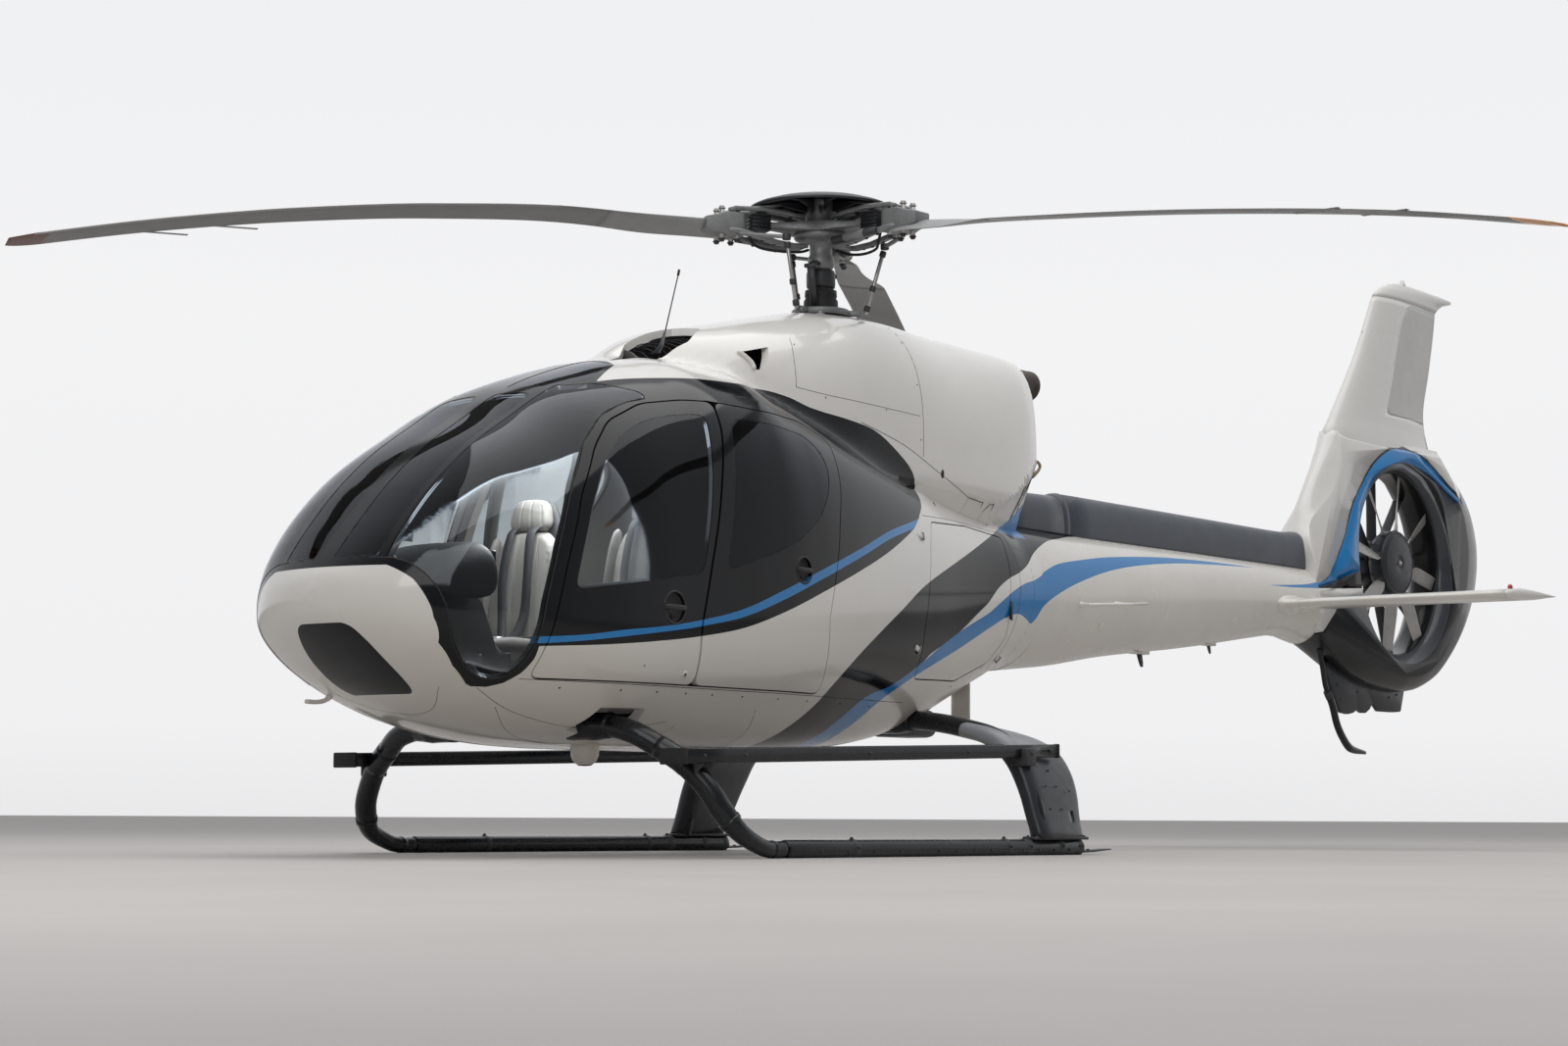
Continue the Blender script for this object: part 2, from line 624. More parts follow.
def coords(nt, scale=(1, 1, 1)):
    tc = nt.nodes.new("ShaderNodeTexCoord")
    mp = nt.nodes.new("ShaderNodeMapping")
    mp.inputs["Scale"].default_value = scale
    nt.links.new(tc.outputs["Object"], mp.inputs["Vector"])
    return mp.outputs["Vector"]


def noise(nt, vec, scale, detail=4.0, rough=0.55, distort=0.0):
    n = nt.nodes.new("ShaderNodeTexNoise")
    n.inputs["Scale"].default_value = scale
    n.inputs["Detail"].default_value = detail
    n.inputs["Roughness"].default_value = rough
    n.inputs["Distortion"].default_value = distort
    nt.links.new(vec, n.inputs["Vector"])
    return n.outputs["Fac"]


def ramp(nt, fac, stops):
    r = nt.nodes.new("ShaderNodeValToRGB")
    while len(r.color_ramp.elements) < len(stops):
        r.color_ramp.elements.new(0.5)
    for e, (p, c) in zip(r.color_ramp.elements, stops):
        e.position = p
        e.color = (c, c, c, 1) if isinstance(c, (int, float)) else (*c, 1)
    nt.links.new(fac, r.inputs["Fac"])
    return r.outputs["Color"]


def mathn(nt, op, a, b=None, c=None):
    n = nt.nodes.new("ShaderNodeMath")
    n.operation = op
    for i, v in enumerate((a, b, c)):
        if v is None:
            continue
        if isinstance(v, (int, float)):
            n.inputs[i].default_value = v
        else:
            nt.links.new(v, n.inputs[i])
    return n.outputs[0]


def mixc(nt, fac, a, b, kind="MIX"):
    n = nt.nodes.new("ShaderNodeMix")
    n.data_type = "RGBA"
    n.blend_type = kind
    for i, v in ((0, fac), (6, a), (7, b)):
        if isinstance(v, (int, float)):
            n.inputs[i].default_value = v
        elif isinstance(v, tuple):
            n.inputs[i].default_value = (*v, 1) if len(v) == 3 else v
        else:
            nt.links.new(v, n.inputs[i])
    return n.outputs[2]


def bump(nt, height, strength, distance, normal=None):
    n = nt.nodes.new("ShaderNodeBump")
    n.inputs["Strength"].default_value = strength
    n.inputs["Distance"].default_value = distance
    nt.links.new(height, n.inputs["Height"])
    if normal is not None:
        nt.links.new(normal, n.inputs["Normal"])
    return n.outputs["Normal"]


def surface(name, rgb, rough, metal=0.0, coat=0.0, spec=0.5, vary=0.06, grain=120.0, grain_bump=0.02, grain_size=0.0004,
            rough_var=0.12, dirt=0.0, dirt_rgb=(0.18, 0.14, 0.10), patch=3.0, aniso=0.0, streak=None, low_dirt=0.0, sheen=0.0):
    """A finished material: broad colour drift, fine grain, uneven gloss and grime, all procedural."""
    m = bpy.data.materials.new(name)
    m.use_nodes = True
    nt = m.node_tree
    b = nt.nodes["Principled BSDF"]
    vec = coords(nt)
    big = noise(nt, vec, patch, 5, 0.6)
    fine = noise(nt, vec if streak is None else coords(nt, streak), grain, 3, 0.6)
    dark = tuple(c * (1 - vary) for c in rgb)
    light = tuple(min(c * (1 + vary * 0.6), 1.0) for c in rgb)
    col = mixc(nt, ramp(nt, big, [(0.3, 0.0), (0.7, 1.0)]), dark, light)
    if dirt:
        spots = noise(nt, vec, patch * 2.7, 8, 0.72, 0.4)
        col = mixc(nt, mathn(nt, "MULTIPLY", ramp(nt, spots, [(0.52, 0.0), (0.75, 1.0)]), dirt), col, dirt_rgb)
    if low_dirt:
        sep = nt.nodes.new("ShaderNodeSeparateXYZ")
        nt.links.new(coords(nt), sep.inputs[0])
        fade = nt.nodes.new("ShaderNodeMapRange")
        fade.inputs["From Min"].default_value = 0.40
        fade.inputs["From Max"].default_value = 1.20
        fade.inputs["To Min"].default_value = 1.0
        fade.inputs["To Max"].default_value = 0.0
        nt.links.new(sep.outputs[2], fade.inputs["Value"])
        amount = mathn(nt, "MULTIPLY", fade.outputs[0], mathn(nt, "MULTIPLY_ADD", big, 0.9, low_dirt * 0.5))
        col = mixc(nt, mathn(nt, "MULTIPLY", amount, low_dirt), col, (0.52, 0.44, 0.36))
    nt.links.new(col, b.inputs["Base Color"])
    b.inputs["Metallic"].default_value = metal
    b.inputs["Specular IOR Level"].default_value = spec
    b.inputs["Coat Weight"].default_value = coat
    b.inputs["Coat Roughness"].default_value = 0.04
    b.inputs["Anisotropic"].default_value = aniso
    if sheen:
        b.inputs["Sheen Weight"].default_value = sheen
        b.inputs["Sheen Roughness"].default_value = 0.5
    rn = noise(nt, vec, patch * 4.3, 6, 0.65)
    rr = nt.nodes.new("ShaderNodeMapRange")
    rr.inputs["To Min"].default_value = max(rough - rough_var * 0.5, 0.02)
    rr.inputs["To Max"].default_value = min(rough + rough_var, 1.0)
    nt.links.new(rn, rr.inputs["Value"])
    nt.links.new(rr.outputs[0], b.inputs["Roughness"])
    nt.links.new(bump(nt, fine, grain_bump, grain_size), b.inputs["Normal"])
    return m


def glass_material(name, tint, gloss_rough=0.015, ior=1.5):
    """Thin flush glazing: a tinted clear film with a Fresnel gloss over it."""
    m = bpy.data.materials.new(name)
    m.use_nodes = True
    nt = m.node_tree
    nt.nodes.remove(nt.nodes["Principled BSDF"])
    out = nt.nodes["Material Output"]
    vec = coords(nt)
    haze = noise(nt, vec, 2.2, 5, 0.6)
    tr = nt.nodes.new("ShaderNodeBsdfTransparent")
    col = mixc(nt, ramp(nt, haze, [(0.35, 0.0), (0.65, 1.0)]), tuple(c * 0.96 for c in tint), tint)
    nt.links.new(col, tr.inputs["Color"])
    gl = nt.nodes.new("ShaderNodeBsdfGlossy")
    gl.inputs["Color"].default_value = (0.92, 0.95, 1.0, 1)
    gl.inputs["Roughness"].default_value = gloss_rough
    wave = noise(nt, vec, 3.0, 2, 0.5)
    fr = nt.nodes.new("ShaderNodeFresnel")
    fr.inputs["IOR"].default_value = ior
    mx = nt.nodes.new("ShaderNodeMixShader")
    nt.links.new(fr.outputs[0], mx.inputs[0])
    nt.links.new(tr.outputs[0], mx.inputs[1])
    nt.links.new(gl.outputs[0], mx.inputs[2])
    nt.links.new(mx.outputs[0], out.inputs["Surface"])
    return m


WHITE = surface("white_gloss", (0.80, 0.785, 0.75), 0.20, coat=0.6, vary=0.035, dirt=0.05, low_dirt=0.55, patch=1.6, rough_var=0.10,
                dirt_rgb=(0.5, 0.44, 0.36), grain=60, grain_bump=0.03, grain_size=0.0006)
WHITE_TAIL = surface("white_tail", (0.82, 0.81, 0.78), 0.22, coat=0.5, vary=0.03, dirt=0.04, patch=1.8, rough_var=0.10,
                     dirt_rgb=(0.5, 0.45, 0.38), grain=60, grain_bump=0.03, grain_size=0.0006)
BOOM_WHITE = surface("white_boom", (0.78, 0.755, 0.71), 0.22, coat=0.5, vary=0.05, dirt=0.10, low_dirt=0.5, patch=2.0, rough_var=0.12,
                     dirt_rgb=(0.45, 0.38, 0.30), grain=60, grain_bump=0.03, grain_size=0.0006)
GREY_PANEL = surface("light_grey_panel", (0.60, 0.595, 0.585), 0.34, coat=0.2, vary=0.05, dirt=0.08, patch=4)
BLACK = surface("black_gloss", (0.006, 0.007, 0.009), 0.09, coat=0.15, spec=0.24, vary=0.25, dirt=0.03, patch=2.0, rough_var=0.08, dirt_rgb=(0.10, 0.09, 0.08),
                grain=50, grain_bump=0.02, grain_size=0.0006)
TAIL_BLACK = surface("tail_black", (0.008, 0.0085, 0.010), 0.20, coat=0.15, spec=0.30, vary=0.3, dirt=0.03, patch=3.0, rough_var=0.16,
                     dirt_rgb=(0.10, 0.09, 0.08))
BLUE = surface("sky_blue_gloss", (0.010, 0.215, 0.56), 0.16, coat=0.15, vary=0.08, dirt=0.02, patch=2.0, rough_var=0.08)
SLATE = surface("slate_paint", (0.020, 0.024, 0.031), 0.34, coat=0.15, vary=0.25, dirt=0.07, patch=5, rough_var=0.2, dirt_rgb=(0.13, 0.12, 0.11),
                grain=260, grain_bump=0.10, grain_size=0.0005)
COVER = surface("cover_slate", (0.060, 0.073, 0.094), 0.40, coat=0.15, vary=0.16, dirt=0.14, patch=3, rough_var=0.15, dirt_rgb=(0.13, 0.13, 0.13),
                grain=300, grain_bump=0.08, grain_size=0.0004)
GEAR = surface("gear_black", (0.009, 0.011, 0.014), 0.22, coat=0.2, spec=0.35, vary=0.3, dirt=0.07, patch=6, rough_var=0.22, dirt_rgb=(0.12, 0.11, 0.10),
               grain=240, grain_bump=0.10, grain_size=0.0005)
GRIP = surface("grip_tread", (0.022, 0.023, 0.025), 0.85, vary=0.3, dirt=0.2, patch=9, grain=900, grain_bump=0.9, grain_size=0.0012)
RUBBER = surface("black_rubber", (0.014, 0.014, 0.015), 0.62, vary=0.2, dirt=0.1, patch=12, grain=500, grain_bump=0.15, grain_size=0.0004)
SEAL = surface("seam_sealant", (0.030, 0.030, 0.031), 0.6, vary=0.2, patch=9)
TRIM = surface("cabin_trim", (0.035, 0.033, 0.032), 0.72, vary=0.2, patch=7, grain=700, grain_bump=0.04, grain_size=0.0006, sheen=0.2)
LINER = surface("head_liner", (0.085, 0.075, 0.066), 0.85, vary=0.15, patch=5, grain=900, grain_bump=0.03, grain_size=0.0006, sheen=0.3)
CARPET = surface("cabin_carpet", (0.050, 0.048, 0.050), 0.95, vary=0.25, patch=6, grain=400, grain_bump=0.10, grain_size=0.002, sheen=0.5)
PLASTIC = surface("moulded_plastic", (0.022, 0.022, 0.024), 0.48, vary=0.15, patch=8, grain=600, grain_bump=0.02, grain_size=0.0005)
BLADE = surface("blade_grey", (0.215, 0.212, 0.21), 0.36, coat=0.1, vary=0.10, dirt=0.22, patch=2.2, rough_var=0.15, dirt_rgb=(0.10, 0.095, 0.09),
                grain=200, grain_bump=0.06, grain_size=0.0004)
BLADE_ROOT_M = surface("blade_root_grey", (0.30, 0.305, 0.31), 0.40, vary=0.10, dirt=0.25, patch=7, rough_var=0.15, dirt_rgb=(0.09, 0.085, 0.08))
EDGE_STEEL = surface("edge_steel", (0.46, 0.455, 0.45), 0.30, metal=0.85, vary=0.12, patch=6, rough_var=0.2, aniso=0.4, grain=300, grain_bump=0.08)
ORANGE = surface("tip_orange", (0.78, 0.30, 0.035), 0.34, coat=0.3, vary=0.1, dirt=0.15, patch=9)
RUST = surface("tip_rust", (0.16, 0.055, 0.03), 0.42, coat=0.2, vary=0.15, dirt=0.25, patch=9)
CAST = surface("cast_alloy", (0.25, 0.255, 0.26), 0.42, metal=0.45, vary=0.16, dirt=0.34, patch=14, rough_var=0.2, dirt_rgb=(0.045, 0.042, 0.04),
               grain=420, grain_bump=0.25, grain_size=0.0006)
DARK_ALLOY = surface("dark_alloy", (0.065, 0.067, 0.072), 0.44, metal=0.4, vary=0.2, dirt=0.3, patch=14, rough_var=0.2, dirt_rgb=(0.02, 0.02, 0.02),
                     grain=420, grain_bump=0.25, grain_size=0.0006)
STEEL = surface("bare_steel", (0.50, 0.49, 0.48), 0.28, metal=0.95, vary=0.12, dirt=0.2, patch=20, rough_var=0.2, dirt_rgb=(0.08, 0.07, 0.06))
FAN_ALLOY = surface("fan_alloy", (0.50, 0.49, 0.47), 0.34, metal=0.65, vary=0.10, dirt=0.2, patch=16, rough_var=0.18, dirt_rgb=(0.16, 0.13, 0.10),
                    grain=260, grain_bump=0.1)
HOT = surface("hot_steel", (0.10, 0.082, 0.070), 0.46, metal=0.75, vary=0.35, dirt=0.35, patch=16, rough_var=0.25, dirt_rgb=(0.02, 0.017, 0.015))
TANPIPE = surface("drain_pipe_tan", (0.36, 0.27, 0.16), 0.45, metal=0.3, vary=0.2, dirt=0.3, patch=30)
LEATHER = surface("seat_leather", (0.36, 0.335, 0.305), 0.52, vary=0.09, dirt=0.10, patch=5, rough_var=0.16, dirt_rgb=(0.16, 0.14, 0.12),
                  grain=340, grain_bump=0.35, grain_size=0.0009)
LEATHER_DARK = surface("bolster_leather", (0.20, 0.185, 0.17), 0.55, vary=0.1, dirt=0.1, patch=5, rough_var=0.16, grain=340, grain_bump=0.35,
                       grain_size=0.0009)
THREAD = surface("stitching", (0.55, 0.53, 0.49), 0.7, vary=0.1, patch=60)
WEB = surface("belt_webbing", (0.055, 0.055, 0.06), 0.75, vary=0.15, patch=30, grain=900, grain_bump=0.6, grain_size=0.0008)
PORT_GLASS = glass_material("tinted_glass", (0.78, 0.81, 0.82), ior=1.36)
CLEAR_GLASS = glass_material("clear_glass", (0.93, 0.95, 0.955), ior=1.36)
ROOF_GLASS = glass_material("roof_glass", (0.78, 0.84, 0.90), ior=1.36)
LENS = glass_material("lamp_lens", (0.90, 0.92, 0.93), 0.03)
RED_LENS = surface("red_lens", (0.55, 0.02, 0.015), 0.12, coat=0.8, vary=0.1, patch=40)
GREEN_LENS = surface("green_lens", (0.02, 0.35, 0.12), 0.12, coat=0.8, vary=0.1, patch=40)
REFLECTOR = surface("lamp_reflector", (0.82, 0.82, 0.82), 0.12, metal=1.0, vary=0.04, patch=30)
DIAL = surface("dial_face", (0.012, 0.012, 0.013), 0.35, coat=0.5, vary=0.2, patch=60)
DIAL_MARK = surface("dial_marks", (0.75, 0.75, 0.70), 0.5, vary=0.1, patch=60)
SCREEN = surface("dark_screen", (0.006, 0.008, 0.012), 0.08, coat=0.8, vary=0.2, patch=30)


def paint(ob, mat, angle=32, flat=False):
    """One material over a whole solid, with sharp edges kept."""
    ob.data.materials.clear()
    ob.data.materials.append(mat)
    ob.data.polygons.foreach_set("material_index", [0] * len(ob.data.polygons))
    ob.data.polygons.foreach_set("use_smooth", [not flat] * len(ob.data.polygons))
    if not flat:
        ob.data.set_sharp_from_angle(angle=math.radians(angle))
    ob.data.update()
    return ob


def place(ob, body="airframe", replaces=()):
    """Hand a finished piece over: shift it to the row frame and let it ride."""
    ob.data.transform(Matrix.Translation(OFF))
    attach(ob, body)
    if replaces:
        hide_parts(*replaces)
    return ob


def skin_normals(ob, mat, inner=None, depth=0.5, thick=WALL, weld=True):
    """Paint a cut piece of the body skin, and shade its outer and inner faces from the true surface."""
    me = ob.data
    nv, nl, npoly = len(me.vertices), len(me.loops), len(me.polygons)
    P = np.empty(nv * 3)
    me.vertices.foreach_get("co", P)
    P = P.reshape(-1, 3)
    x, th, d = body_coords(P)
    N = body_normal(x, th)
    lv = np.empty(nl, int)
    me.loops.foreach_get("vertex_index", lv)
    pn = np.empty(npoly * 3)
    me.polygons.foreach_get("normal", pn)
    pn = pn.reshape(-1, 3)
    ls = np.empty(npoly, int)
    me.polygons.foreach_get("loop_start", ls)
    lt = np.empty(npoly, int)
    me.polygons.foreach_get("loop_total", lt)
    owner = np.repeat(np.arange(npoly), lt)
    dot = (N[lv] * pn[owner]).sum(-1)
    worst = np.minimum.reduceat(np.abs(dot), ls)
    mean = np.add.reduceat(dot, ls) / lt
    far = np.maximum.reduceat(d[lv], ls)
    near = np.minimum.reduceat(d[lv], ls)
    outer = (mean > 0.8) & (worst > 0.55) & (near > -thick * 0.45)
    inside = (mean < -0.8) & (worst > 0.55) & (far < -thick * 0.3)
    ln = pn[owner].copy()
    o, i = outer[owner], inside[owner]
    ln[o] = N[lv][o]
    ln[i] = -N[lv][i]
    me.materials.clear()
    me.materials.append(mat)
    idx = np.zeros(npoly, int)
    if inner is not None:
        me.materials.append(inner)
        # inner faces, and the part of the cut edges that lies deep in the wall
        idx[inside] = 1
        idx[(~outer) & (~inside) & (far < -0.008)] = 1
    me.polygons.foreach_set("material_index", idx)
    me.polygons.foreach_set("use_smooth", np.ones(npoly, bool))
    me.normals_split_custom_set(ln)
    me.update()
    return ob


# ------------------------------------------------------------------ body skin pieces
def _stations(n):
    s = np.linspace(0.03, math.sqrt(TIP - 2.2), int(n * 0.36))
    a = TIP - s**2
    b = np.linspace(2.2, COWL_END, n - len(a) + 1)[1:]
    return np.concatenate([a, b])


def _angles(n):
    q = np.linspace(0, 2 * math.pi, 3600, endpoint=False)
    w = np.ones_like(q)
    for c in (42, 138):
        w += 1.3 * np.exp(-((np.degrees(q) - c) / 17.0) ** 2)
    k = np.r_[0, np.cumsum(w)]
    return np.interp(np.linspace(0, k[-1], n, endpoint=False), k, np.linspace(0, 2 * math.pi, 3601))


SX, ST = _stations(172), _angles(208)
GX, GT = np.meshgrid(SX, ST, indexing="ij")
GP = body_point(GX, GT)
GN = body_normal(GX, GT)


def shell(name, inset, thick):
    """The body skin as a thin closed solid, open only as far as its own aft rim."""
    nx, nt = GX.shape
    verts, faces = [], []
    for d, sign in ((inset, 1), (inset + thick, -1)):
        base = len(verts)
        q = GP - GN * d
        q[-1, :, 0] = COWL_END
        verts += [tuple(v) for v in q.reshape(-1, 3)]
        tip = len(verts)
        verts.append((TIP - d, 0, 0.972))
        for i in range(nx - 1):
            a, b = base + i * nt, base + (i + 1) * nt
            for j in range(nt):
                k = (j + 1) % nt
                f = (a + j, b + j, b + k, a + k)
                faces.append(f if sign > 0 else f[::-1])
        for j in range(nt):
            k = (j + 1) % nt
            f = (tip, base + j, base + k)
            faces.append(f if sign > 0 else f[::-1])
    half = nx * nt + 1
    a, b = (nx - 1) * nt, half + (nx - 1) * nt
    for j in range(nt):
        k = (j + 1) % nt
        faces.append((a + j, b + j, b + k, a + k))
    ob = mesh_object(name, verts, faces, fix=False)
    bm = bmesh.new()
    bm.from_mesh(ob.data)
    bmesh.ops.recalc_face_normals(bm, faces=bm.faces)
    if bm.calc_volume(signed=True) < 0:
        bmesh.ops.reverse_faces(bm, faces=bm.faces)
    bm.to_mesh(ob.data)
    bm.free()
    return ob


fd, fw = smooth(FRONT_DOOR, 0.05), smooth(FRONT_WINDOW, 0.05)
rd, rw = smooth(REAR_DOOR, 0.05), smooth(REAR_WINDOW, 0.05)
bd = smooth(BAGGAGE_DOOR, 0.03)
ss, cs, rf = smooth(SIDE_SHIELD, 0.03), smooth(CENTRE_SHIELD, 0.045), smooth(ROOF_WINDOW, 0.03)
rd_cut = smooth([(x + 0.080, z) for x, z in REAR_DOOR[:6]] + REAR_DOOR[6:], 0.05)


def side(outline, s, y0=0.15, y1=1.2):
    a, b = (y0, y1) if s > 0 else (-y1, -y0)
    return prism_y("cutter", outline, a, b)


def plan(outline, s, z0, z1=2.6):
    return prism_z("cutter", [(x, s * y) for x, y in outline], z0, z1)


def minus(ob, *cutters):
    for c in cutters:
        boolean(ob, c, keep=False)
    return ob


def inside(source, cutter, name, keep=False):
    o = copy(source, name)
    boolean(o, cutter, "INTERSECT", keep=keep)
    return o


# paint regions, as cutters
_low = flowing(TEAR_LOW, 70)
_top = flowing(TEAR_TOP, 70)
teardrop = prism_y("teardrop", [(2.556, 0.740), (2.566, 0.690), (2.590, 0.652), (2.620, 0.638), (2.662, 0.640), (2.735, 0.668), (2.814, 0.715),
                                (2.900, 0.790), (2.950, 0.875), (2.975, 0.955), (2.995, 1.020), (3.015, 1.055), (3.3, 1.055), (3.3, 2.3),
                                (1.986, 2.3)] + _top + _low, -1.2, 1.2)
roof_black = prism_z("roof_black", [(2.05, 0.42), (1.980, 0.392), (1.860, 0.335), (1.715, 0.268), (1.640, 0.150), (1.612, 0.0),
                                    (1.640, -0.150), (1.715, -0.268), (1.860, -0.335), (1.980, -0.392), (2.05, -0.42)], 1.84, 2.3)
boolean(teardrop, roof_black, "UNION", keep=False)
stripe = prism_y("stripe", flowing(BLUE_TOP, 80) + flowing(BLUE_LOW, 80), -1.2, 1.2)
BAND_LOW_FULL = BAND_LOW[:12] + [(-0.960, 1.275), (-1.100, 1.320), (-1.200, 1.362), (-1.300, 1.420), (-1.400, 1.462)]
band = prism_y("band", flowing(BAND_TOP, 80) + [(0.870, 0.300), (0.472, 0.300)] + flowing(BAND_LOW_FULL, 90), -1.2, 1.2)
band2 = prism_y("band2", flowing(BLUE2_TOP, 90) + flowing(BLUE2_LOW, 90), -1.2, 1.2)
blue_root = prism_y("blue_root", [(-1.000, 1.512), (-1.100, 1.545), (-1.200, 1.596), (-1.345, 1.690), (-1.345, 1.500), (-1.200, 1.500)], -1.2, 1.2)


def livery(ob, name, regions, base, inner=TRIM, thick=WALL):
    """Split a skin piece into its paint colours and shade each."""
    parts = []
    for k, (cutter, mat) in enumerate(regions):
        got = both(ob, cutter, "%s_c%d" % (name, k))
        if len(got.data.polygons):
            parts.append(skin_normals(got, mat, inner, thick=thick))
        else:
            drop(got)
    if len(ob.data.polygons):
        parts.insert(0, skin_normals(ob, base, inner, thick=thick))
    else:
        drop(ob)
    return join(name, parts) if len(parts) > 1 else (setattr(parts[0], "name", name) or parts[0])


wall = shell("wall", 0.0, WALL)
leaf = shell("leaf", 0.0, DOOR_T)
pane = shell("pane", 0.0015, 0.0050)
jamb = shell("jamb", WALL, 0.009)
rim = shell("rim", 0.0085, 0.0060)

doors = {}
for s, tag in ((1, "port"), (-1, "starboard")):
    # front door leaf, glass, retainer
    d = inside(leaf, side(grow(fd, -DOOR_GAP), s), "front_door_" + tag)
    minus(d, side(fw, s))
    g = inside(pane, side(grow(fw, -0.0005), s), "front_door_window_" + tag)
    r = inside(rim, side(grow(fw, 0.004), s), "front_door_rim_" + tag)
    minus(r, side(grow(fw, -0.011), s))
    doors[tag] = (d, g, r)
rear = inside(leaf, side(grow(rd, -DOOR_GAP), 1), "rear_door_port")
minus(rear, side(rw, 1))
rear_glass = inside(pane, side(grow(rw, -0.0005), 1), "rear_door_window_port")
rear_rim = minus(inside(rim, side(grow(rw, 0.004), 1), "rear_door_rim_port"), side(grow(rw, -0.011), 1))
star_glass = inside(pane, side(grow(rw, -0.0005), -1), "rear_window_starboard")
star_rim = minus(inside(rim, side(grow(rw, 0.004), -1), "rear_window_rim_starboard"), side(grow(rw, -0.011), -1))
bag = inside(leaf, side(grow(bd, -DOOR_GAP), 1), "baggage_door_port")

for s in (1, -1):
    minus(wall, side(fd, s))
minus(wall, side(rd_cut, 1), side(rw, -1), side(bd, 1))
shields = {}
for s, tag in ((1, "port"), (-1, "starboard")):
    minus(wall, side(ss, s, SIDE_SHIELD_Y), plan(cs, s, CENTRE_SHIELD_Z), plan(rf, s, 1.6))
    shields["side_windshield_" + tag] = inside(pane, side(grow(ss, -0.0005), s, SIDE_SHIELD_Y + 0.0005), "side_windshield_" + tag)
    shields["centre_windshield_" + tag] = inside(pane, plan(grow(cs, -0.0005), s, CENTRE_SHIELD_Z + 0.0005), "centre_windshield_" + tag)
    shields["roof_window_" + tag] = inside(pane, plan(grow(rf, -0.0005), s, 1.6), "roof_window_" + tag)

# intakes, the side scoops and the mast hole
INTAKE = smooth([(1.640, 0.172), (1.400, 0.045), (1.100, 0.030), (1.030, 0.150), (1.180, 0.212), (1.400, 0.196), (1.560, 0.192)], 0.02)
SCOOP = smooth([(0.975, 2.118), (0.800, 2.160), (0.835, 2.100), (0.870, 2.046), (0.925, 2.046), (0.915, 2.086)], 0.012)
for s in (1, -1):
    minus(wall, plan(INTAKE, s, 1.95), side(SCOOP, s, 0.22, 0.7))
minus(wall, lathe("cutter", [(0, 2.1), (0.118, 2.1), (0.118, 2.7), (0, 2.7)], n=48))
# belly holes for the gear legs
FRONT_LEG = [(1.540, 1.014, 0.0335), (1.680, 1.016, 0.045), (1.800, 1.008, 0.100), (1.868, 0.966, 0.192),
             (1.890, 0.930, 0.260), (1.930, 0.840, 0.360), (1.960, 0.750, 0.420), (2.000, 0.630, 0.485),
             (2.000, 0.450, 0.518)]
REAR_LEG = [(-0.256, 1.026, 0.040), (-0.256, 1.000, 0.160), (-0.258, 0.965, 0.270), (-0.262, 0.925, 0.360),
            (-0.268, 0.880, 0.428), (-0.278, 0.820, 0.482), (-0.294, 0.740, 0.520), (-0.320, 0.600, 0.553),
            (-0.350, 0.400, 0.587), (-0.370, 0.150, 0.606)]
LEG_R = 0.045


def across(path):
    return [Vector(p) for p in path] + [Vector((x, -y, z)) for x, y, z in reversed(path)]


# the pocket round each front leg is a long dark slot, and the rear legs leave by plain holes
for s in (1, -1):
    pocket = loft("cutter", [[(x, s * y, z) for x, y, z in
                              ((2.13, yy, z0), (2.13, yy, z0 + 0.16), (1.90, yy, z0 + 0.16), (1.84, yy, z0 + 0.07), (1.90, yy, z0))]
                             for yy, z0 in ((0.40, 0.40), (0.66, 0.42))])
    minus(wall, pocket)
minus(wall, pipe("cutter", across(FRONT_LEG), LEG_R + 0.004, 24), pipe("cutter", across(REAR_LEG), LEG_R + 0.004, 24))

# where the real panels meet
cap = both(wall, prism_y("cutter", NOSE_CAP, -1.1, 1.1), "nose_cap")
cowl_line = [(1.640, 2.70), (1.640, 1.990), (1.500, 1.975), (1.250, 2.010), (0.900, 1.985), (0.620, 1.955), (0.288, 1.883), (-0.043, 1.810),
             (-0.282, 1.728), (-0.558, 1.642), (-0.860, 1.566), (-1.000, 1.535), (-1.080, 1.545), (-1.150, 1.575), (-1.225, 1.625),
             (-1.345, 1.720), (-1.345, 2.70)]
cowl = both(wall, prism_y("cutter", cowl_line, -1.1, 1.1), "cowl")
engine = both(cowl, box("cutter", (-2, -1, 1.2), (COWL_SPLIT_X, 1, 3)), "engine_cowling")
aft = both(wall, box("cutter", (-2, -1, 0.2), (0.465, 1, 2.6)), "aft_fuselage")

cabin = livery(wall, "cabin_shell", [(stripe, BLUE), (teardrop, BLACK), (band2, BLUE), (band, BLACK)], WHITE, LINER)
nose_window = prism_x("cutter", smooth([(y, z) for z, y in ((0.870, 0.115), (0.850, 0.152), (0.800, 0.180), (0.740, 0.196), (0.680, 0.200),
                                                             (0.640, 0.190), (0.615, 0.160))]
                                        + [(-y, z) for z, y in ((0.615, 0.160), (0.640, 0.190), (0.680, 0.200), (0.740, 0.196), (0.800, 0.180),
                                                                (0.850, 0.152), (0.870, 0.115))], 0.02), 2.4, 3.3)
nose = livery(cap, "nose_cap", [(nose_window, BLACK)], WHITE, TRIM)
aft = livery(aft, "aft_fuselage", [(blue_root, BLUE), (stripe, BLUE), (teardrop, BLACK), (band2, BLUE), (band, BLACK)], WHITE, TRIM)
deck = livery(cowl, "deck_cowling", [(teardrop, BLACK)], WHITE, TRIM)
engine = livery(engine, "engine_cowling", [(teardrop, BLACK), (blue_root, BLUE)], WHITE, TRIM)
place(cabin, "airframe", ["cabin_shell"])
place(nose, "airframe", ["nose_cap"])
place(aft, "airframe", ["aft_fuselage"])
place(deck, "airframe", ["deck_cowling"])
place(engine, "airframe", ["engine_cowling"])

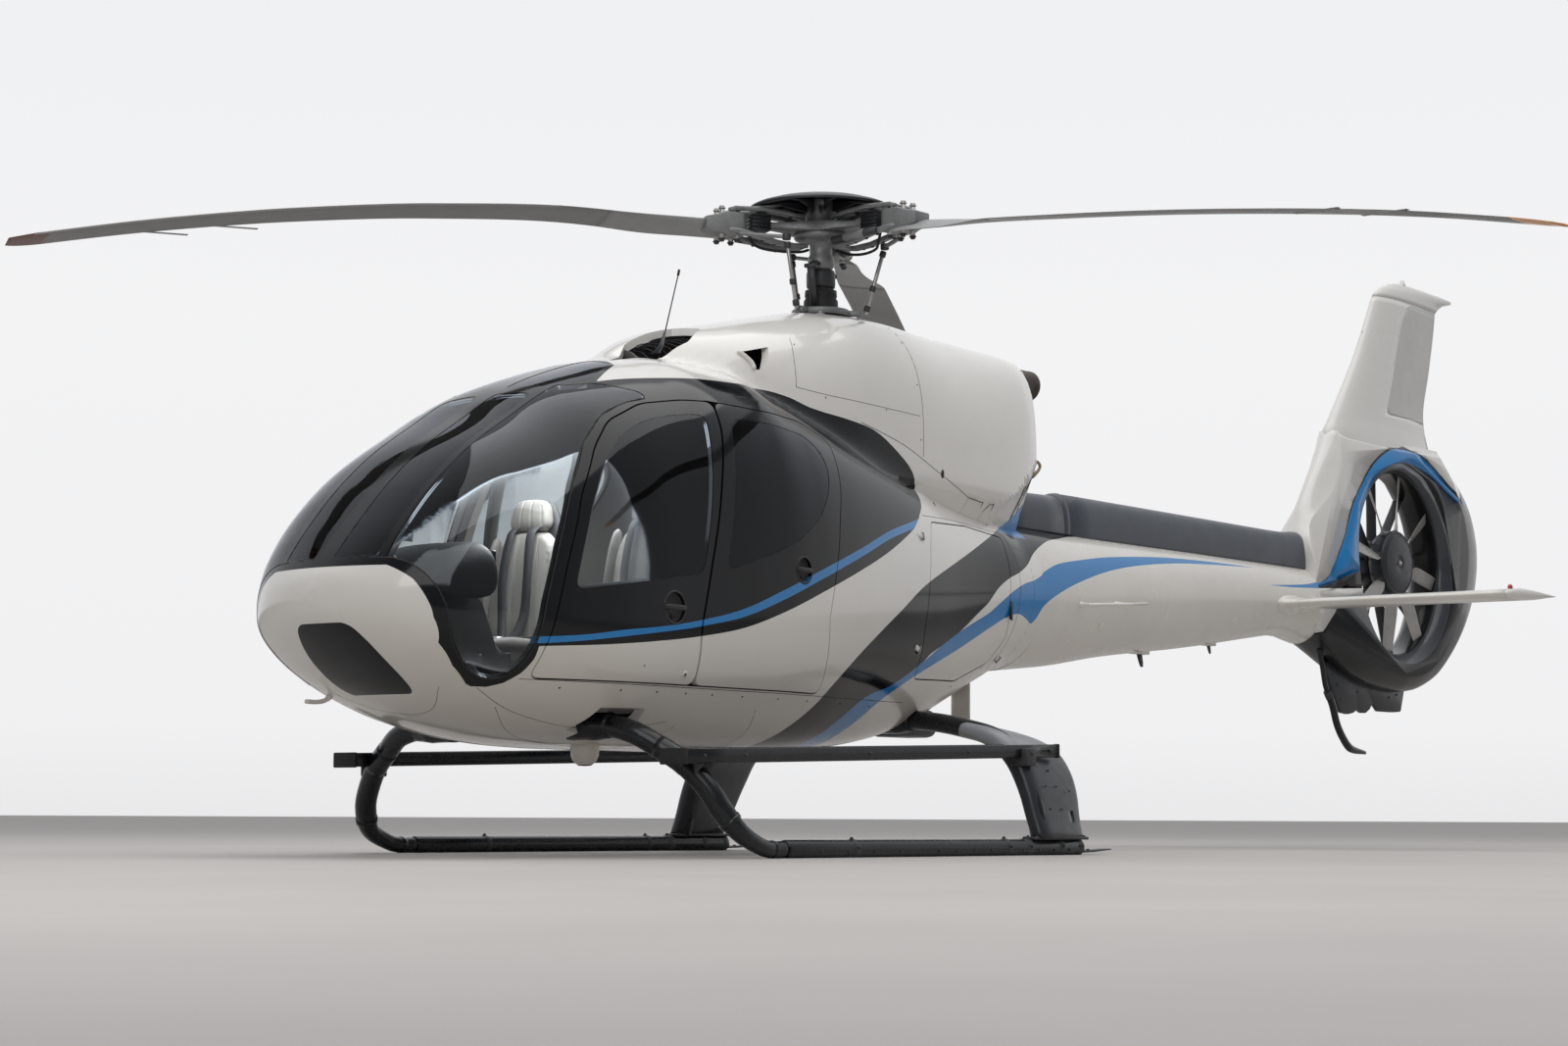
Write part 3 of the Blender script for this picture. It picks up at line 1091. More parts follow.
HANDLES = ((1.887, 0.966, 0.062, 1, "front"), (1.060, 1.166, 0.054, 1, "rear"), (1.887, 0.966, 0.062, -1, "front"))


def handle(name, leaf_ob, x, z, r, s):
    """Round dished recess with a bar across it."""
    p, n = on_side(x, z, s)
    rot = Vector((0, 0, 1)).rotation_difference(n).to_matrix().to_4x4()
    at = Matrix.Translation(p) @ rot
    cut = lathe("cutter", [(0, -0.019), (r * 0.80, -0.019), (r * 0.93, -0.012), (r, 0.004), (r, 0.05), (0, 0.05)], n=48)
    move(cut, at)
    boolean(leaf_ob, cut, keep=False)
    ring = lathe("ring", [(r - 0.001, -0.004), (r - 0.001, 0.0012), (r + 0.001, 0.0022), (r + 0.005, 0.0022), (r + 0.007, 0.0004), (r + 0.007, -0.004)], n=48)
    move(ring, at)
    along = (Vector((1, 0, 0)) - n * n.x).normalized()
    up = n.cross(along)
    up = up if up.z > 0 else -up
    L = r * 1.02
    pts = [p - along * L + n * 0.002, p - along * L * 0.75 + n * 0.006, p + n * 0.007, p + along * L * 0.75 + n * 0.006, p + along * L + n * 0.002]
    bar = sweep("bar", smooth_path(pts, 14), [(a * 0.011, b * 0.006) for a, b in circle(1, 12)],
                [0.7] + [1] * 12 + [0.7], up=n)
    pivot = sweep("pivot", [p + along * L * 0.55 - n * 0.017, p + along * L * 0.55 + n * 0.004], circle(0.010, 14))
    key = sweep("key", [p - up * r * 0.55 - n * 0.018, p - up * r * 0.55 - n * 0.012], circle(0.009, 14))
    for o in (ring, bar, pivot, key):
        paint(o, PLASTIC)
    return join(name, [ring, bar, pivot, key])


made = {}
made["front_port"] = handle("handle_front_port", doors["port"][0], 1.887, 0.966, 0.060, 1)
made["front_starboard"] = handle("handle_front_starboard", doors["starboard"][0], 1.887, 0.966, 0.060, -1)
made["rear_port"] = handle("handle_rear_port", rear, 1.060, 1.166, 0.052, 1)

for s, tag in ((1, "port"), (-1, "starboard")):
    d, g, r = doors[tag]
    body = tag + "_front_door"
    d = livery(d, "front_door_" + tag, [(stripe, BLUE), (teardrop, BLACK)], WHITE, TRIM, DOOR_T)
    place(d, body, ["front_door_" + tag])
    place(skin_normals(g, PORT_GLASS if s > 0 else CLEAR_GLASS, thick=0.005), body, ["front_door_window_" + tag])
    place(skin_normals(r, surface("window_retainer_" + tag, (0.30, 0.30, 0.295), 0.5), thick=0.006), body)
    place(made["front_" + tag], body)
rear = livery(rear, "rear_door_port", [(stripe, BLUE), (teardrop, BLACK)], WHITE, TRIM, DOOR_T)
place(rear, "airframe", ["rear_door_port"])
place(skin_normals(rear_glass, PORT_GLASS, thick=0.005), "airframe", ["rear_door_window_port"])
place(made["rear_port"], "airframe")
RETAINER = surface("window_retainer", (0.30, 0.30, 0.295), 0.5)
place(skin_normals(rear_rim, RETAINER, thick=0.006), "airframe")
place(skin_normals(star_rim, RETAINER, thick=0.006), "airframe")
place(skin_normals(star_glass, CLEAR_GLASS, thick=0.005), "airframe", ["rear_window_starboard"])
bag = livery(bag, "baggage_door_port", [(band2, BLUE), (band, BLACK)], WHITE, TRIM, DOOR_T)
place(bag, "port_baggage_door", ["baggage_door_port"])
for name, g in shields.items():
    mat = ROOF_GLASS if name.startswith("roof") else (PORT_GLASS if name == "side_windshield_port" else CLEAR_GLASS)
    place(skin_normals(g, mat, thick=0.005), "airframe", [name])

# jamb flanges behind the door gaps
flanges = []
for outline, s in ((fd, 1), (fd, -1), (rd, 1), (bd, 1)):
    f = inside(jamb, side(grow(outline, 0.030), s), "flange")
    minus(f, side(grow(outline, -0.014), s))
    flanges.append(skin_normals(f, RUBBER, thick=0.009))
place(join("door_jambs", flanges), "airframe")
drop(jamb, leaf, pane, rim)


# ------------------------------------------------------------------ tail boom and drive shaft cover
_B = np.array([(-1.255, .338, .367, 1.229), (-1.50, .3195, .355, 1.239)] + BOOM[1:])[::-1]


def boom_at(x):
    return [hermite(_B[:, 0], _B[:, k], np.clip(x, -4.36, -1.255)) for k in (1, 2, 3)]


def boom_field(p):
    x = p[:, 0]
    w, h, zc = boom_at(x)
    e = 0.01
    a, b = boom_at(x + e), boom_at(x - e)
    dw, dh, dz = [(m - n) / (2 * e) for m, n in zip(a, b)]
    y, z = p[:, 1], p[:, 2] - zc
    n = np.stack([-y**2 * dw / w**3 - z**2 * dh / h**3 - z * dz / h**2, y / w**2, z / h**2], -1)
    n /= np.maximum(np.linalg.norm(n, axis=1, keepdims=True), 1e-9)
    return n, (np.sqrt((y / w) ** 2 + (z / h) ** 2) - 1) * np.minimum(w, h)


def boom_point(x, deg, out=0.0):
    """Point on the boom at station x, deg round from port, and its normal."""
    w, h, zc = [float(v) for v in boom_at(np.array([x]))[:3]] if False else [float(v[0]) for v in boom_at(np.array([x]))]
    a = math.radians(deg)
    p = np.array([[x, w * math.cos(a), zc + h * math.sin(a)]])
    n = boom_field(p)[0][0]
    return Vector(p[0] + n * out), Vector(n)


def shade_by(ob, mat, field, thick, inner=None):
    """As skin_normals, with another surface's normals."""
    global body_coords, body_normal
    keep = body_coords, body_normal
    store = {}

    def bc(p):
        n, d = field(p)
        store["n"] = n
        return p[:, 0], p[:, 0], d
    body_coords, body_normal = bc, (lambda x, th: store["n"])
    try:
        skin_normals(ob, mat, inner, thick=thick)
    finally:
        body_coords, body_normal = keep
    return ob


bx = np.concatenate([np.linspace(COWL_END - 0.0004, -1.9, 16), np.linspace(-1.96, -4.36, 44)])
loops = []
for inset in (0.0, 0.012):
    rows = []
    for x in bx:
        w, h, zc = [float(v[0]) for v in boom_at(np.array([x]))]
        rows.append([(x, (w - inset) * math.cos(t), zc + (h - inset) * math.sin(t)) for t in np.linspace(0, 2 * math.pi, 96, endpoint=False)])
    loops += rows if inset == 0 else rows[::-1]
boom = loft("tail_boom", loops, closed=True)
SWOOSH = (flowing([(-1.300, 1.290), (-1.330, 1.326), (-1.400, 1.355), (-1.517, 1.389), (-1.739, 1.423), (-2.073, 1.464), (-2.616, 1.505), (-3.043, 1.520),
                   (-3.359, 1.524), (-3.660, 1.524)], 80)
          + flowing([(-3.650, 1.5225), (-3.230, 1.507), (-2.785, 1.483), (-2.340, 1.438), (-2.002, 1.384), (-1.668, 1.303), (-1.464, 1.235), (-1.335, 1.173),
                     (-1.290, 1.120)], 80))
swoosh = prism_y("cutter", SWOOSH, -0.5, 0.5)
black_root = prism_y("cutter", flowing([(-1.300, 1.420), (-1.400, 1.462), (-1.553, 1.508), (-1.700, 1.532), (-1.864, 1.556), (-2.153, 1.580)], 40)
                     + [(-2.2, 1.75), (-1.3, 1.75)], -0.5, 0.5)
fin_tail = prism_y("cutter", flowing([(-3.780, 1.4335), (-4.049, 1.452), (-4.250, 1.470), (-4.420, 1.500)], 30)
                   + [(-4.420, 1.455), (-4.049, 1.437), (-3.780, 1.4320)], -0.5, 0.5)
bits = []
for c, m in ((swoosh, BLUE), (black_root, BLACK), (fin_tail, BLUE)):
    got = both(boom, c, "part")
    bits.append(shade_by(got, m, boom_field, 0.012))
bits.insert(0, shade_by(boom, BOOM_WHITE, boom_field, 0.012))
drop(swoosh, black_root, fin_tail)
place(join("tail_boom_skin", bits), "airframe", ["tail_boom"])


def boom_cutter(d=0.0006):
    return loft("cutter", [[(x, (w + d) * math.cos(t), zc + (h + d) * math.sin(t)) for t in np.linspace(0, 2 * math.pi, 96, endpoint=False)]
                           for x, w, h, zc in [(x, *[float(v[0]) for v in boom_at(np.array([x]))]) for x in np.linspace(-1.2, -4.7, 50)]])


def superellipse(w, up, down, p, n, q=None):
    out = []
    for i in range(n):
        t = 2 * math.pi * i / n
        c, s = math.cos(t), math.sin(t)
        e = p if s >= 0 else (q or p)
        out.append((w * math.copysign(abs(c) ** (2 / e), c), (up if s >= 0 else down) * math.copysign(abs(s) ** (2 / e), s)))
    return out


def cover_run(name, stations):
    """A length of the drive shaft cover: x, half width, top above 1.575, bottom z."""
    loops = []
    for x, w, h, zb in stations:
        loops.append([(x, y, max(1.575 + z, zb)) for y, z in superellipse(w, h, 0.14, 2.7, 48, 5)])
    o = loft(name, loops)
    boolean(o, boom_cutter(), keep=False)
    return paint(o, COVER, 35)


front_cover = cover_run("cover_front", [(-1.338, .112, .178, 1.40), (-1.343, .118, .186, 1.40), (-1.50, .117, .189, 1.40), (-1.70, .114, .192, 1.40), (-1.850, .112, .195, 1.40),
                                        (-1.858, .106, .188, 1.40)])
joint_ring = cover_run("cover_joint", [(-1.8585, .104, .190, 1.40), (-1.861, .109, .198, 1.40), (-1.905, .111, .212, 1.40), (-1.910, .107, .208, 1.40)])
main_stations = [(-1.9105, .104, .198, 1.40), (-1.915, .110, .209, 1.40), (-2.10, .110, .209, 1.40), (-2.60, .105, .205, 1.40), (-3.10, .100, .2005, 1.40),
                 (-3.60, .098, .196, 1.40), (-4.00, .096, .192, 1.40), (-4.18, .095, .192, 1.40), (-4.27, .095, .197, 1.40), (-4.33, .094, .203, 1.50),
                 (-4.358, .091, .204, 1.575), (-4.385, .086, .198, 1.610), (-4.405, .078, .182, 1.638), (-4.420, .062, .155, 1.650), (-4.428, .040, .125, 1.655)]
main_cover = cover_run("cover_main", main_stations)
flange = loft("cover_flange", [[(x, s * (w + e), z0 + dz) for e, dz in ((0.0, 0.0), (0.012, -0.004), (0.012, -0.0065), (0.0, -0.003))]
                               for x, w, z0, s in []]) if False else None
place(join("driveshaft_cover_skin", [front_cover, joint_ring, main_cover]), "airframe", ["driveshaft_cover"])

# ------------------------------------------------------------------ fan shroud
FAN_X, FAN_Z = -5.490, 1.672
DUCT_R, LIP_R, FAN_R, FAN_HUB_R, SHROUD_T = 0.540, 0.600, 0.530, 0.195, 0.150
SHROUD = [(-4.362, 1.235, 0, 0), (-4.510, 1.165, 0.02, 0.05), (-4.720, 1.075, 0.03, 0.08), (-4.950, 0.990, 0.03, 0.09),
          (-5.190, 0.940, 0.03, 0.09), (-5.400, 0.918, 0.03, 0.09), (-5.540, 0.914, 0.03, 0.09), (-5.760, 0.938, 0.035, 0.10),
          (-6.000, 1.015, 0.05, 0.14), (-6.190, 1.130, 0.06, 0.18), (-6.360, 1.270, 0.08, 0.23), (-6.490, 1.420, 0.09, 0.27),
          (-6.580, 1.580, 0.10, 0.30), (-6.620, 1.736, 0.10, 0.32), (-6.610, 1.890, 0.10, 0.31), (-6.520, 2.070, 0.09, 0.27),
          (-6.360, 2.210, 0.07, 0.20), (-6.200, 2.300, 0.05, 0.12), (-6.085, 2.400, 0, 0.06)]
SHROUD_FRONT = [(-4.790, 2.400, 0, 0.05), (-4.700, 2.260, 0.03, 0.10), (-4.590, 2.110, 0.04, 0.12), (-4.490, 1.960, 0.04, 0.08),
                (-4.432, 1.850, 0.01, 0.02), (-4.362, 1.700, 0, 0), (-4.362, 1.588, 0, 0), (-4.362, 1.400, 0, 0)]


def outline4(points, n):
    a = np.array(points, float)
    d = np.r_[0, np.cumsum(np.hypot(*np.diff(a[:, :2], axis=0).T))]
    q = np.linspace(0, d[-1], n)
    return np.stack([hermite(d, a[:, k], q) if k > 1 else np.interp(q, d, [0] * len(d)) for k in range(4)], -1), q, d, a


def dense(points, n):
    out, q, d, a = outline4(points, n)
    xy = smooth_path([(p[0], 0, p[1]) for p in a], n)
    out[:, 0], out[:, 1] = [v.x for v in xy], [v.z for v in xy]
    return out


round_part = dense(SHROUD, 110)
top_part = np.array([(x, 2.400, 0.0, 0.06) for x in np.linspace(-6.02, -4.86, 12)])
front_part = dense(SHROUD_FRONT, 40)
SH = np.vstack([round_part, top_part, front_part])


def shroud_ring(t, inset=0.0):
    """One layer of the shroud at t of its half thickness."""
    f = max((abs(t) - 0.2) / 0.8, 0) ** 2.1
    v = np.stack([FAN_X - SH[:, 0], FAN_Z - SH[:, 1]], -1)
    v /= np.linalg.norm(v, axis=1, keepdims=True)
    e = SH[:, 3] * f + inset
    x, z = SH[:, 0] + v[:, 0] * e, SH[:, 1] + v[:, 1] * e
    flat = SH[:, 1] > 2.399
    z = np.where(flat & (abs(t) < 0.75), SH[:, 1] - inset, z)
    return [(a, t * SHROUD_T, b) for a, b in zip(x, z)]


ts = (-1, -.985, -.95, -.88, -.78, -.66, -.52, -.36, -.2, 0, .2, .36, .52, .66, .78, .88, .95, .985, 1)
shroud = loft("shroud", [shroud_ring(t, 0.004 if abs(t) == 1 else 0.0) for t in ts])


def duct_cut(d=0.0, n=96):
    side_ = [(DUCT_R + d, 0.075), (DUCT_R + 0.004 + d, 0.092), (DUCT_R + 0.014 + d, 0.108), (DUCT_R + 0.028 + d, 0.124), (LIP_R - 0.016 + d, 0.138),
             (LIP_R - 0.006 + d, 0.146), (LIP_R + d, SHROUD_T + 0.0006), (LIP_R + d, 0.4)]
    return lathe("cutter", [(0, -0.4)] + [(r, -h) for r, h in reversed(side_)] + side_ + [(0, 0.4)], (FAN_X, 0, FAN_Z), "Y", n)


for v in shroud.data.vertices:
    x, z = v.co.x, v.co.z
    k = min(max((z - 2.19) / 0.21, 0), 1)
    f = 1 - 0.37 * k * k * (3 - 2 * k)
    lead = -4.790 + (2.400 - z) / 0.550 * 0.358
    d = min(max((lead - x) / 0.34, 0), 1)
    g = min(max((z - 1.62) / 0.20, 0), 1)
    v.co.y *= f * (1 - (0.48 - 0.30 * k) * g * (1 - d * d * (3 - 2 * d)))
boolean(shroud, duct_cut(), keep=False)
BLUE_OUT = flowing([(-4.100, 1.449), (-4.335, 1.474), (-4.508, 1.518), (-4.602, 1.580), (-4.686, 1.670), (-4.784, 1.790), (-4.871, 1.938), (-4.995, 2.080),
                    (-5.183, 2.241), (-5.372, 2.334), (-5.562, 2.362), (-5.715, 2.350), (-5.882, 2.295), (-6.075, 2.180), (-6.240, 2.075)], 120)
BLUE_IN = flowing([(-6.230, 2.070), (-6.048, 2.150), (-5.880, 2.229), (-5.712, 2.265), (-5.559, 2.278), (-5.369, 2.245), (-5.218, 2.172), (-5.092, 2.071),
                   (-5.004, 1.949), (-4.952, 1.831), (-4.925, 1.700), (-4.905, 1.600), (-4.700, 1.530), (-4.565, 1.490), (-4.334, 1.455), (-4.100, 1.440)], 120)
blue_ring = prism_y("cutter", BLUE_OUT + BLUE_IN, -0.3, 0.3)
line_ring = prism_y("cutter", [(x - 0.0, z) for x, z in BLUE_OUT[8:]] + [(x, z) for x, z in grow(BLUE_OUT, 0.0)][-1:]
                    + [(FAN_X + (x - FAN_X) * 1.018, FAN_Z + (z - FAN_Z) * 1.022) for x, z in reversed(BLUE_OUT[8:])], -0.3, 0.3)
black_all = prism_y("cutter", BLUE_OUT[:118] + [(-6.30, 2.20), (-6.9, 2.2), (-6.9, 0.7), (-4.0, 0.7), (-4.20, 1.05), (-4.362, 1.152), (-4.478, 1.241), (-4.596, 1.336),
                                                 (-4.640, 1.392), (-4.945, 1.452), (-4.942, 1.489), (-4.334, 1.452), (-4.11, 1.440)], -0.3, 0.3)
lip = lathe("cutter", [(DUCT_R + 0.0015, -0.2), (DUCT_R + 0.0015, 0.2), (LIP_R - 0.002, 0.2), (LIP_R - 0.002, -0.2)], (FAN_X, 0, FAN_Z), "Y", 96)
LIP_BLUE = surface("lip_slate_blue", (0.035, 0.042, 0.055), 0.30, coat=0.3, vary=0.15, dirt=0.12, patch=5)
bits = []
for c, m in ((blue_ring, BLUE), (line_ring, TAIL_BLACK), (lip, LIP_BLUE), (black_all, TAIL_BLACK)):
    got = both(shroud, c, "part")
    if len(got.data.polygons):
        bits.append(paint(got, m, 38))
    else:
        drop(got)
    drop(c)
bits.insert(0, paint(shroud, WHITE_TAIL, 38))
# black lining of the duct
lining = lathe("lining", [(DUCT_R - 0.002, -0.074), (DUCT_R - 0.002, 0.074), (DUCT_R + 0.006, 0.090), (DUCT_R + 0.006, -0.090)], (FAN_X, 0, FAN_Z), "Y", 96)
bits.append(paint(lining, TAIL_BLACK))
place(join("fan_shroud_skin", bits), "airframe", ["fan_shroud"])


# ------------------------------------------------------------------ fin, cap and stabilisers
def foil(x0, x1, t, n=20, tail=0.004):
    up = []
    for i in range(n + 1):
        s = 0.5 * (1 - math.cos(math.pi * i / n))
        up.append((x0 + (x1 - x0) * s, max(t * (2.97 * math.sqrt(s) - 1.26 * s - 3.516 * s**2 + 2.843 * s**3 - 1.015 * s**4), tail)))
    return up + [(x, -h) for x, h in reversed(up)]


FIN = [(2.4005, -4.780, -6.085, 0.092), (2.490, -4.850, -6.040, 0.082), (2.600, -4.938, -6.018, 0.074),
       (2.900, -5.165, -6.105, 0.062), (3.150, -5.320, -6.175, 0.054), (3.270, -5.390, -6.200, 0.050)]
FIN_CAP = [(3.2705, -5.390, -6.200, 0.050), (3.300, -5.420, -6.240, 0.049), (3.330, -5.470, -6.300, 0.045), (3.352, -5.525, -6.400, 0.038),
           (3.362, -5.565, -6.430, 0.033), (3.375, -5.600, -6.420, 0.028), (3.385, -5.660, -6.250, 0.020), (3.392, -5.730, -6.000, 0.010)]
A = np.array(FIN)
fz = np.linspace(2.4005, 3.2700, 26)
fin = loft("fin", [[(x, y, z) for x, y in foil(*[float(hermite(A[:, 0], A[:, k], [z])[0]) for k in (1, 2, 3)])] for z in fz])
FIN_PANEL = smooth([(-6.5, 3.262), (-5.790, 3.262), (-5.713, 3.218), (-5.632, 3.075), (-5.577, 2.949), (-5.494, 2.744), (-5.410, 2.575), (-5.440, 2.556),
                    (-5.615, 2.562), (-5.872, 2.565), (-6.5, 2.540)], 0.04)
pan = prism_y("cutter", FIN_PANEL, -0.3, 0.3)
got = both(fin, pan, "part")
drop(pan)
place(join("fin_skin", [paint(fin, WHITE_TAIL, 30), paint(got, GREY_PANEL, 30)]), "airframe", ["tail_fin"])
capo = loft("fin_cap_skin", [[(x, y, z) for x, y in foil(a, b, t)] for z, a, b, t in FIN_CAP])
beacon = lathe("beacon", [(0, 3.388), (0.020, 3.388), (0.020, 3.394), (0.016, 3.398), (0.014, 3.412), (0.009, 3.420), (0, 3.423)], (-5.775, 0, 0), "Z", 24)
place(join("fin_cap_skin", [paint(capo, WHITE_TAIL, 30), paint(beacon, WHITE_TAIL, 40)]), "airframe", ["fin_cap"])
# smooth fillet between the shroud's crown and the fin
fil = []
for z, k in ((2.330, 1.0), (2.365, 0.62), (2.400, 0.34), (2.440, 0.14), (2.490, 0.03)):
    a = float(hermite(A[:, 0], A[:, 1], [max(z, 2.4005)])[0]) + 0.006 * k
    b = float(hermite(A[:, 0], A[:, 2], [max(z, 2.4005)])[0]) - 0.008 * k
    t = float(hermite(A[:, 0], A[:, 3], [max(z, 2.4005)])[0]) + 0.010 * k
    fil.append([(x, y, z) for x, y in foil(a, b, t)])
place(paint(loft("fin_root_fillet", fil), WHITE_TAIL, 40), "airframe")

STAB_Y, STAB_X, STAB_Z = 1.540, (-3.880, -4.335), 1.340
for s, tag in ((1, "port"), (-1, "starboard")):
    secs = []
    for y in np.linspace(0.16, STAB_Y - 0.03, 12):
        secs.append([(x, s * y, STAB_Z + h) for x, h in foil(STAB_X[0], STAB_X[1], 0.030, 16, 0.003)])
    st = loft("stab", secs)
    # swept, upturned tip
    tip = []
    for k, (dy, cx0, cx1, t, dz) in enumerate(((-0.030, -3.880, -4.335, 0.030, 0.0), (-0.012, -3.884, -4.338, 0.031, 0.001), (0.0, -3.900, -4.345, 0.031, 0.002),
                                               (0.012, -3.960, -4.360, 0.026, 0.004), (0.022, -4.060, -4.378, 0.017, 0.006), (0.028, -4.180, -4.390, 0.009, 0.008))):
        tip.append([(x, s * (STAB_Y + dy), STAB_Z + h + dz) for x, h in foil(cx0, cx1, t, 16, 0.002)])
    tp = loft("stab_tip", tip)
    fair = []
    for y, k in ((0.150, 1.0), (0.185, 0.95), (0.205, 0.55), (0.230, 0.24), (0.262, 0.06), (0.290, 0.0)):
        fair.append([(x, s * y, STAB_Z + h) for x, h in foil(STAB_X[0] + 0.045 * k, STAB_X[1] - 0.05 * k, 0.030 + 0.030 * k, 16, 0.003)])
    rf_ = loft("stab_root", fair)
    for o in (st, rf_):
        boolean(o, boom_cutter(-0.004), keep=False)
    lens = lathe("lens", [(0, 0), (0.014, 0.0), (0.013, 0.012), (0.008, 0.020), (0, 0.023)], (0, 0, 0), "Y", 20)
    move(lens, Matrix.Translation((-3.935, s * (STAB_Y - 0.020), STAB_Z + 0.027)) @ Matrix.Rotation(math.radians(90), 4, "X"))
    place(join("stabiliser_" + tag + "_skin", [paint(st, BOOM_WHITE, 30), paint(tp, WHITE_TAIL, 30), paint(rf_, BOOM_WHITE, 40),
                                              paint(lens, GREEN_LENS if s < 0 else RED_LENS)]),
          "airframe", ["stabiliser_" + tag])

# boom end fairing under the stabiliser: a shaped beige knuckle into the shroud's black
knuckle = []
for x, w, h, zc in ((-3.98, .192, .206, 1.380), (-4.10, .193, .207, 1.386), (-4.22, .190, .208, 1.386), (-4.32, .182, .214, 1.374), (-4.40, .165, .215, 1.362), (-4.47, .140, .190, 1.360)):
    knuckle.append([(x, w * math.cos(t), zc + h * math.sin(t)) for t in np.linspace(0, 2 * math.pi, 72, endpoint=False)])
kn = loft("boom_end_fairing", knuckle)
boolean(kn, box("cutter", (-5, -1, 1.418), (-3, 1, 2)), keep=False)
place(paint(kn, BOOM_WHITE, 45), "airframe")

vent = prism_y("ventral", smooth([(-4.703, 1.060), (-4.804, 0.903), (-4.906, 0.775), (-4.990, 0.767), (-5.060, 0.778), (-5.100, 0.800), (-5.160, 0.780), (-5.206, 0.780), (-5.260, 0.805),
                                  (-5.295, 0.845), (-5.340, 0.815), (-5.368, 0.795), (-5.560, 0.795), (-5.649, 0.801), (-5.698, 0.930), (-5.560, 1.010), (-5.100, 1.060)], 0.012, 3), -0.012, 0.012)
vent = rounded(vent, 0.004, 2)
studs = [bolt("b", (x, s * 0.012, z), (0, s, 0), 0.006, 0.004) for s in (1, -1) for x, z in ((-4.80, 0.99), (-4.86, 0.93), (-5.10, 0.90), (-5.50, 0.88), (-4.90, 0.85), (-5.60, 0.90))]
place(join("ventral_plate_skin", [paint(vent, SLATE, 30)] + [paint(b, DARK_ALLOY, 30) for b in studs]), "airframe", ["ventral_plate"])
bp = smooth_path([(-4.610, 0.028, 1.140), (-4.654, 0.028, 1.037), (-4.692, 0.028, 0.918), (-4.765, 0.028, 0.821), (-4.824, 0.028, 0.702),
                  (-4.900, 0.028, 0.620), (-4.980, 0.028, 0.570), (-5.161, 0.028, 0.548)], 40)
bum = sweep("tail_bumper_skin", bp, [(a * 0.014, b * 0.019) for a, b in circle(1, 16)], [1.0 if i < 14 else (1.35 if 14 <= i < 30 else 1.35 - (i - 30) * 0.09) for i in range(40)])
clampb = pipe("clampb", bp[12:15], 0.024, 16)
place(join("tail_bumper_skin", [paint(bum, GEAR, 40), paint(clampb, DARK_ALLOY, 40)]), "airframe", ["tail_bumper"])

# ------------------------------------------------------------------ fan: hub, blades, gearbox pod and stator vanes
hub = lathe("fan_hub", [(0, -0.015), (0.172, -0.015), (0.180, -0.010), (0.186, 0.004), (0.193, 0.012), (0.195, 0.020), (0.195, 0.078), (0.192, 0.086), (0.183, 0.093),
                        (0.178, 0.094), (0.176, 0.0915), (0.172, 0.0915), (0.170, 0.0955), (0.160, 0.0985), (0.060, 0.1025), (0.030, 0.1030), (0.028, 0.1010), (0.022, 0.1010), (0.020, 0.1030), (0, 0.1035)],
            (FAN_X, 0, FAN_Z), "Y", 72)
fan_bits = [paint(hub, SLATE, 28)]
for i in range(8):
    a = 0.2 + 2 * math.pi * i / 8
    R = Matrix.Translation((FAN_X, 0.0525, FAN_Z)) @ Matrix.Rotation(-a, 4, "Y")
    loops = []
    for r, c, tw, tk in ((0.165, 0.034, 62, 0.016), (0.195, 0.040, 58, 0.014), (0.215, 0.062, 46, 0.012), (0.240, 0.078, 38, 0.010), (0.30, 0.084, 32, 0.009), (0.38, 0.084, 26, 0.008),
                         (0.46, 0.082, 21, 0.007), (0.515, 0.080, 18, 0.006), (0.526, 0.074, 17, 0.005)):
        t = math.radians(tw)
        sec = []
        for u, h in foil(-0.32 * c, 0.68 * c, tk * 0.5, 9, 0.0012):
            sec.append(R @ Vector((u * math.cos(t) - h * math.sin(t), u * math.sin(t) + h * math.cos(t), r)))
        loops.append(sec)
    fan_bits.append(paint(loft("fb", loops), FAN_ALLOY, 45))
    cuff = lathe("cuff", [(0, 0.175), (0.020, 0.175), (0.022, 0.180), (0.022, 0.196), (0.018, 0.202), (0, 0.202)], n=20)
    fan_bits.append(paint(move(cuff, R), DARK_ALLOY, 30))
fan_bits.append(paint(bolt("cb", (FAN_X, 0.101, FAN_Z), (0, 1, 0), 0.012, 0.012), STEEL, 30))
for i in range(12):
    a = 2 * math.pi * i / 12
    fan_bits.append(paint(bolt("cb", (FAN_X + 0.160 * math.cos(a), 0.0983, FAN_Z + 0.160 * math.sin(a)), (0, 1, 0), 0.0035, 0.002), DARK_ALLOY, 30))
place(join("fan_rotor", fan_bits), "tail_rotor", ["tail_rotor"])

pod = lathe("pod", [(0, -0.148), (0.070, -0.146), (0.110, -0.140), (0.136, -0.124), (0.148, -0.100), (0.152, -0.070), (0.152, -0.040), (0.148, -0.032), (0, -0.030)], (FAN_X, 0, FAN_Z), "Y", 56)
pod_bits = [paint(pod, SLATE, 30)]
for i in range(9):
    R = Matrix.Translation((FAN_X, -0.085, FAN_Z)) @ Matrix.Rotation(2 * math.pi * i / 9, 4, "Y")
    loops = [[R @ Vector((h, u, r)) for u, h in foil(-0.030 - k, 0.034 + k, 0.007 + k * 0.4, 9, 0.001)] for r, k in ((0.135, 0.004), (0.16, 0.001), (0.35, 0.0), (0.515, 0.0), (0.537, 0.003))]
    pod_bits.append(paint(loft("vane", loops), DARK_ALLOY, 45))
place(join("fan_gearbox_pod", pod_bits), "airframe", ["tail_gearbox"])


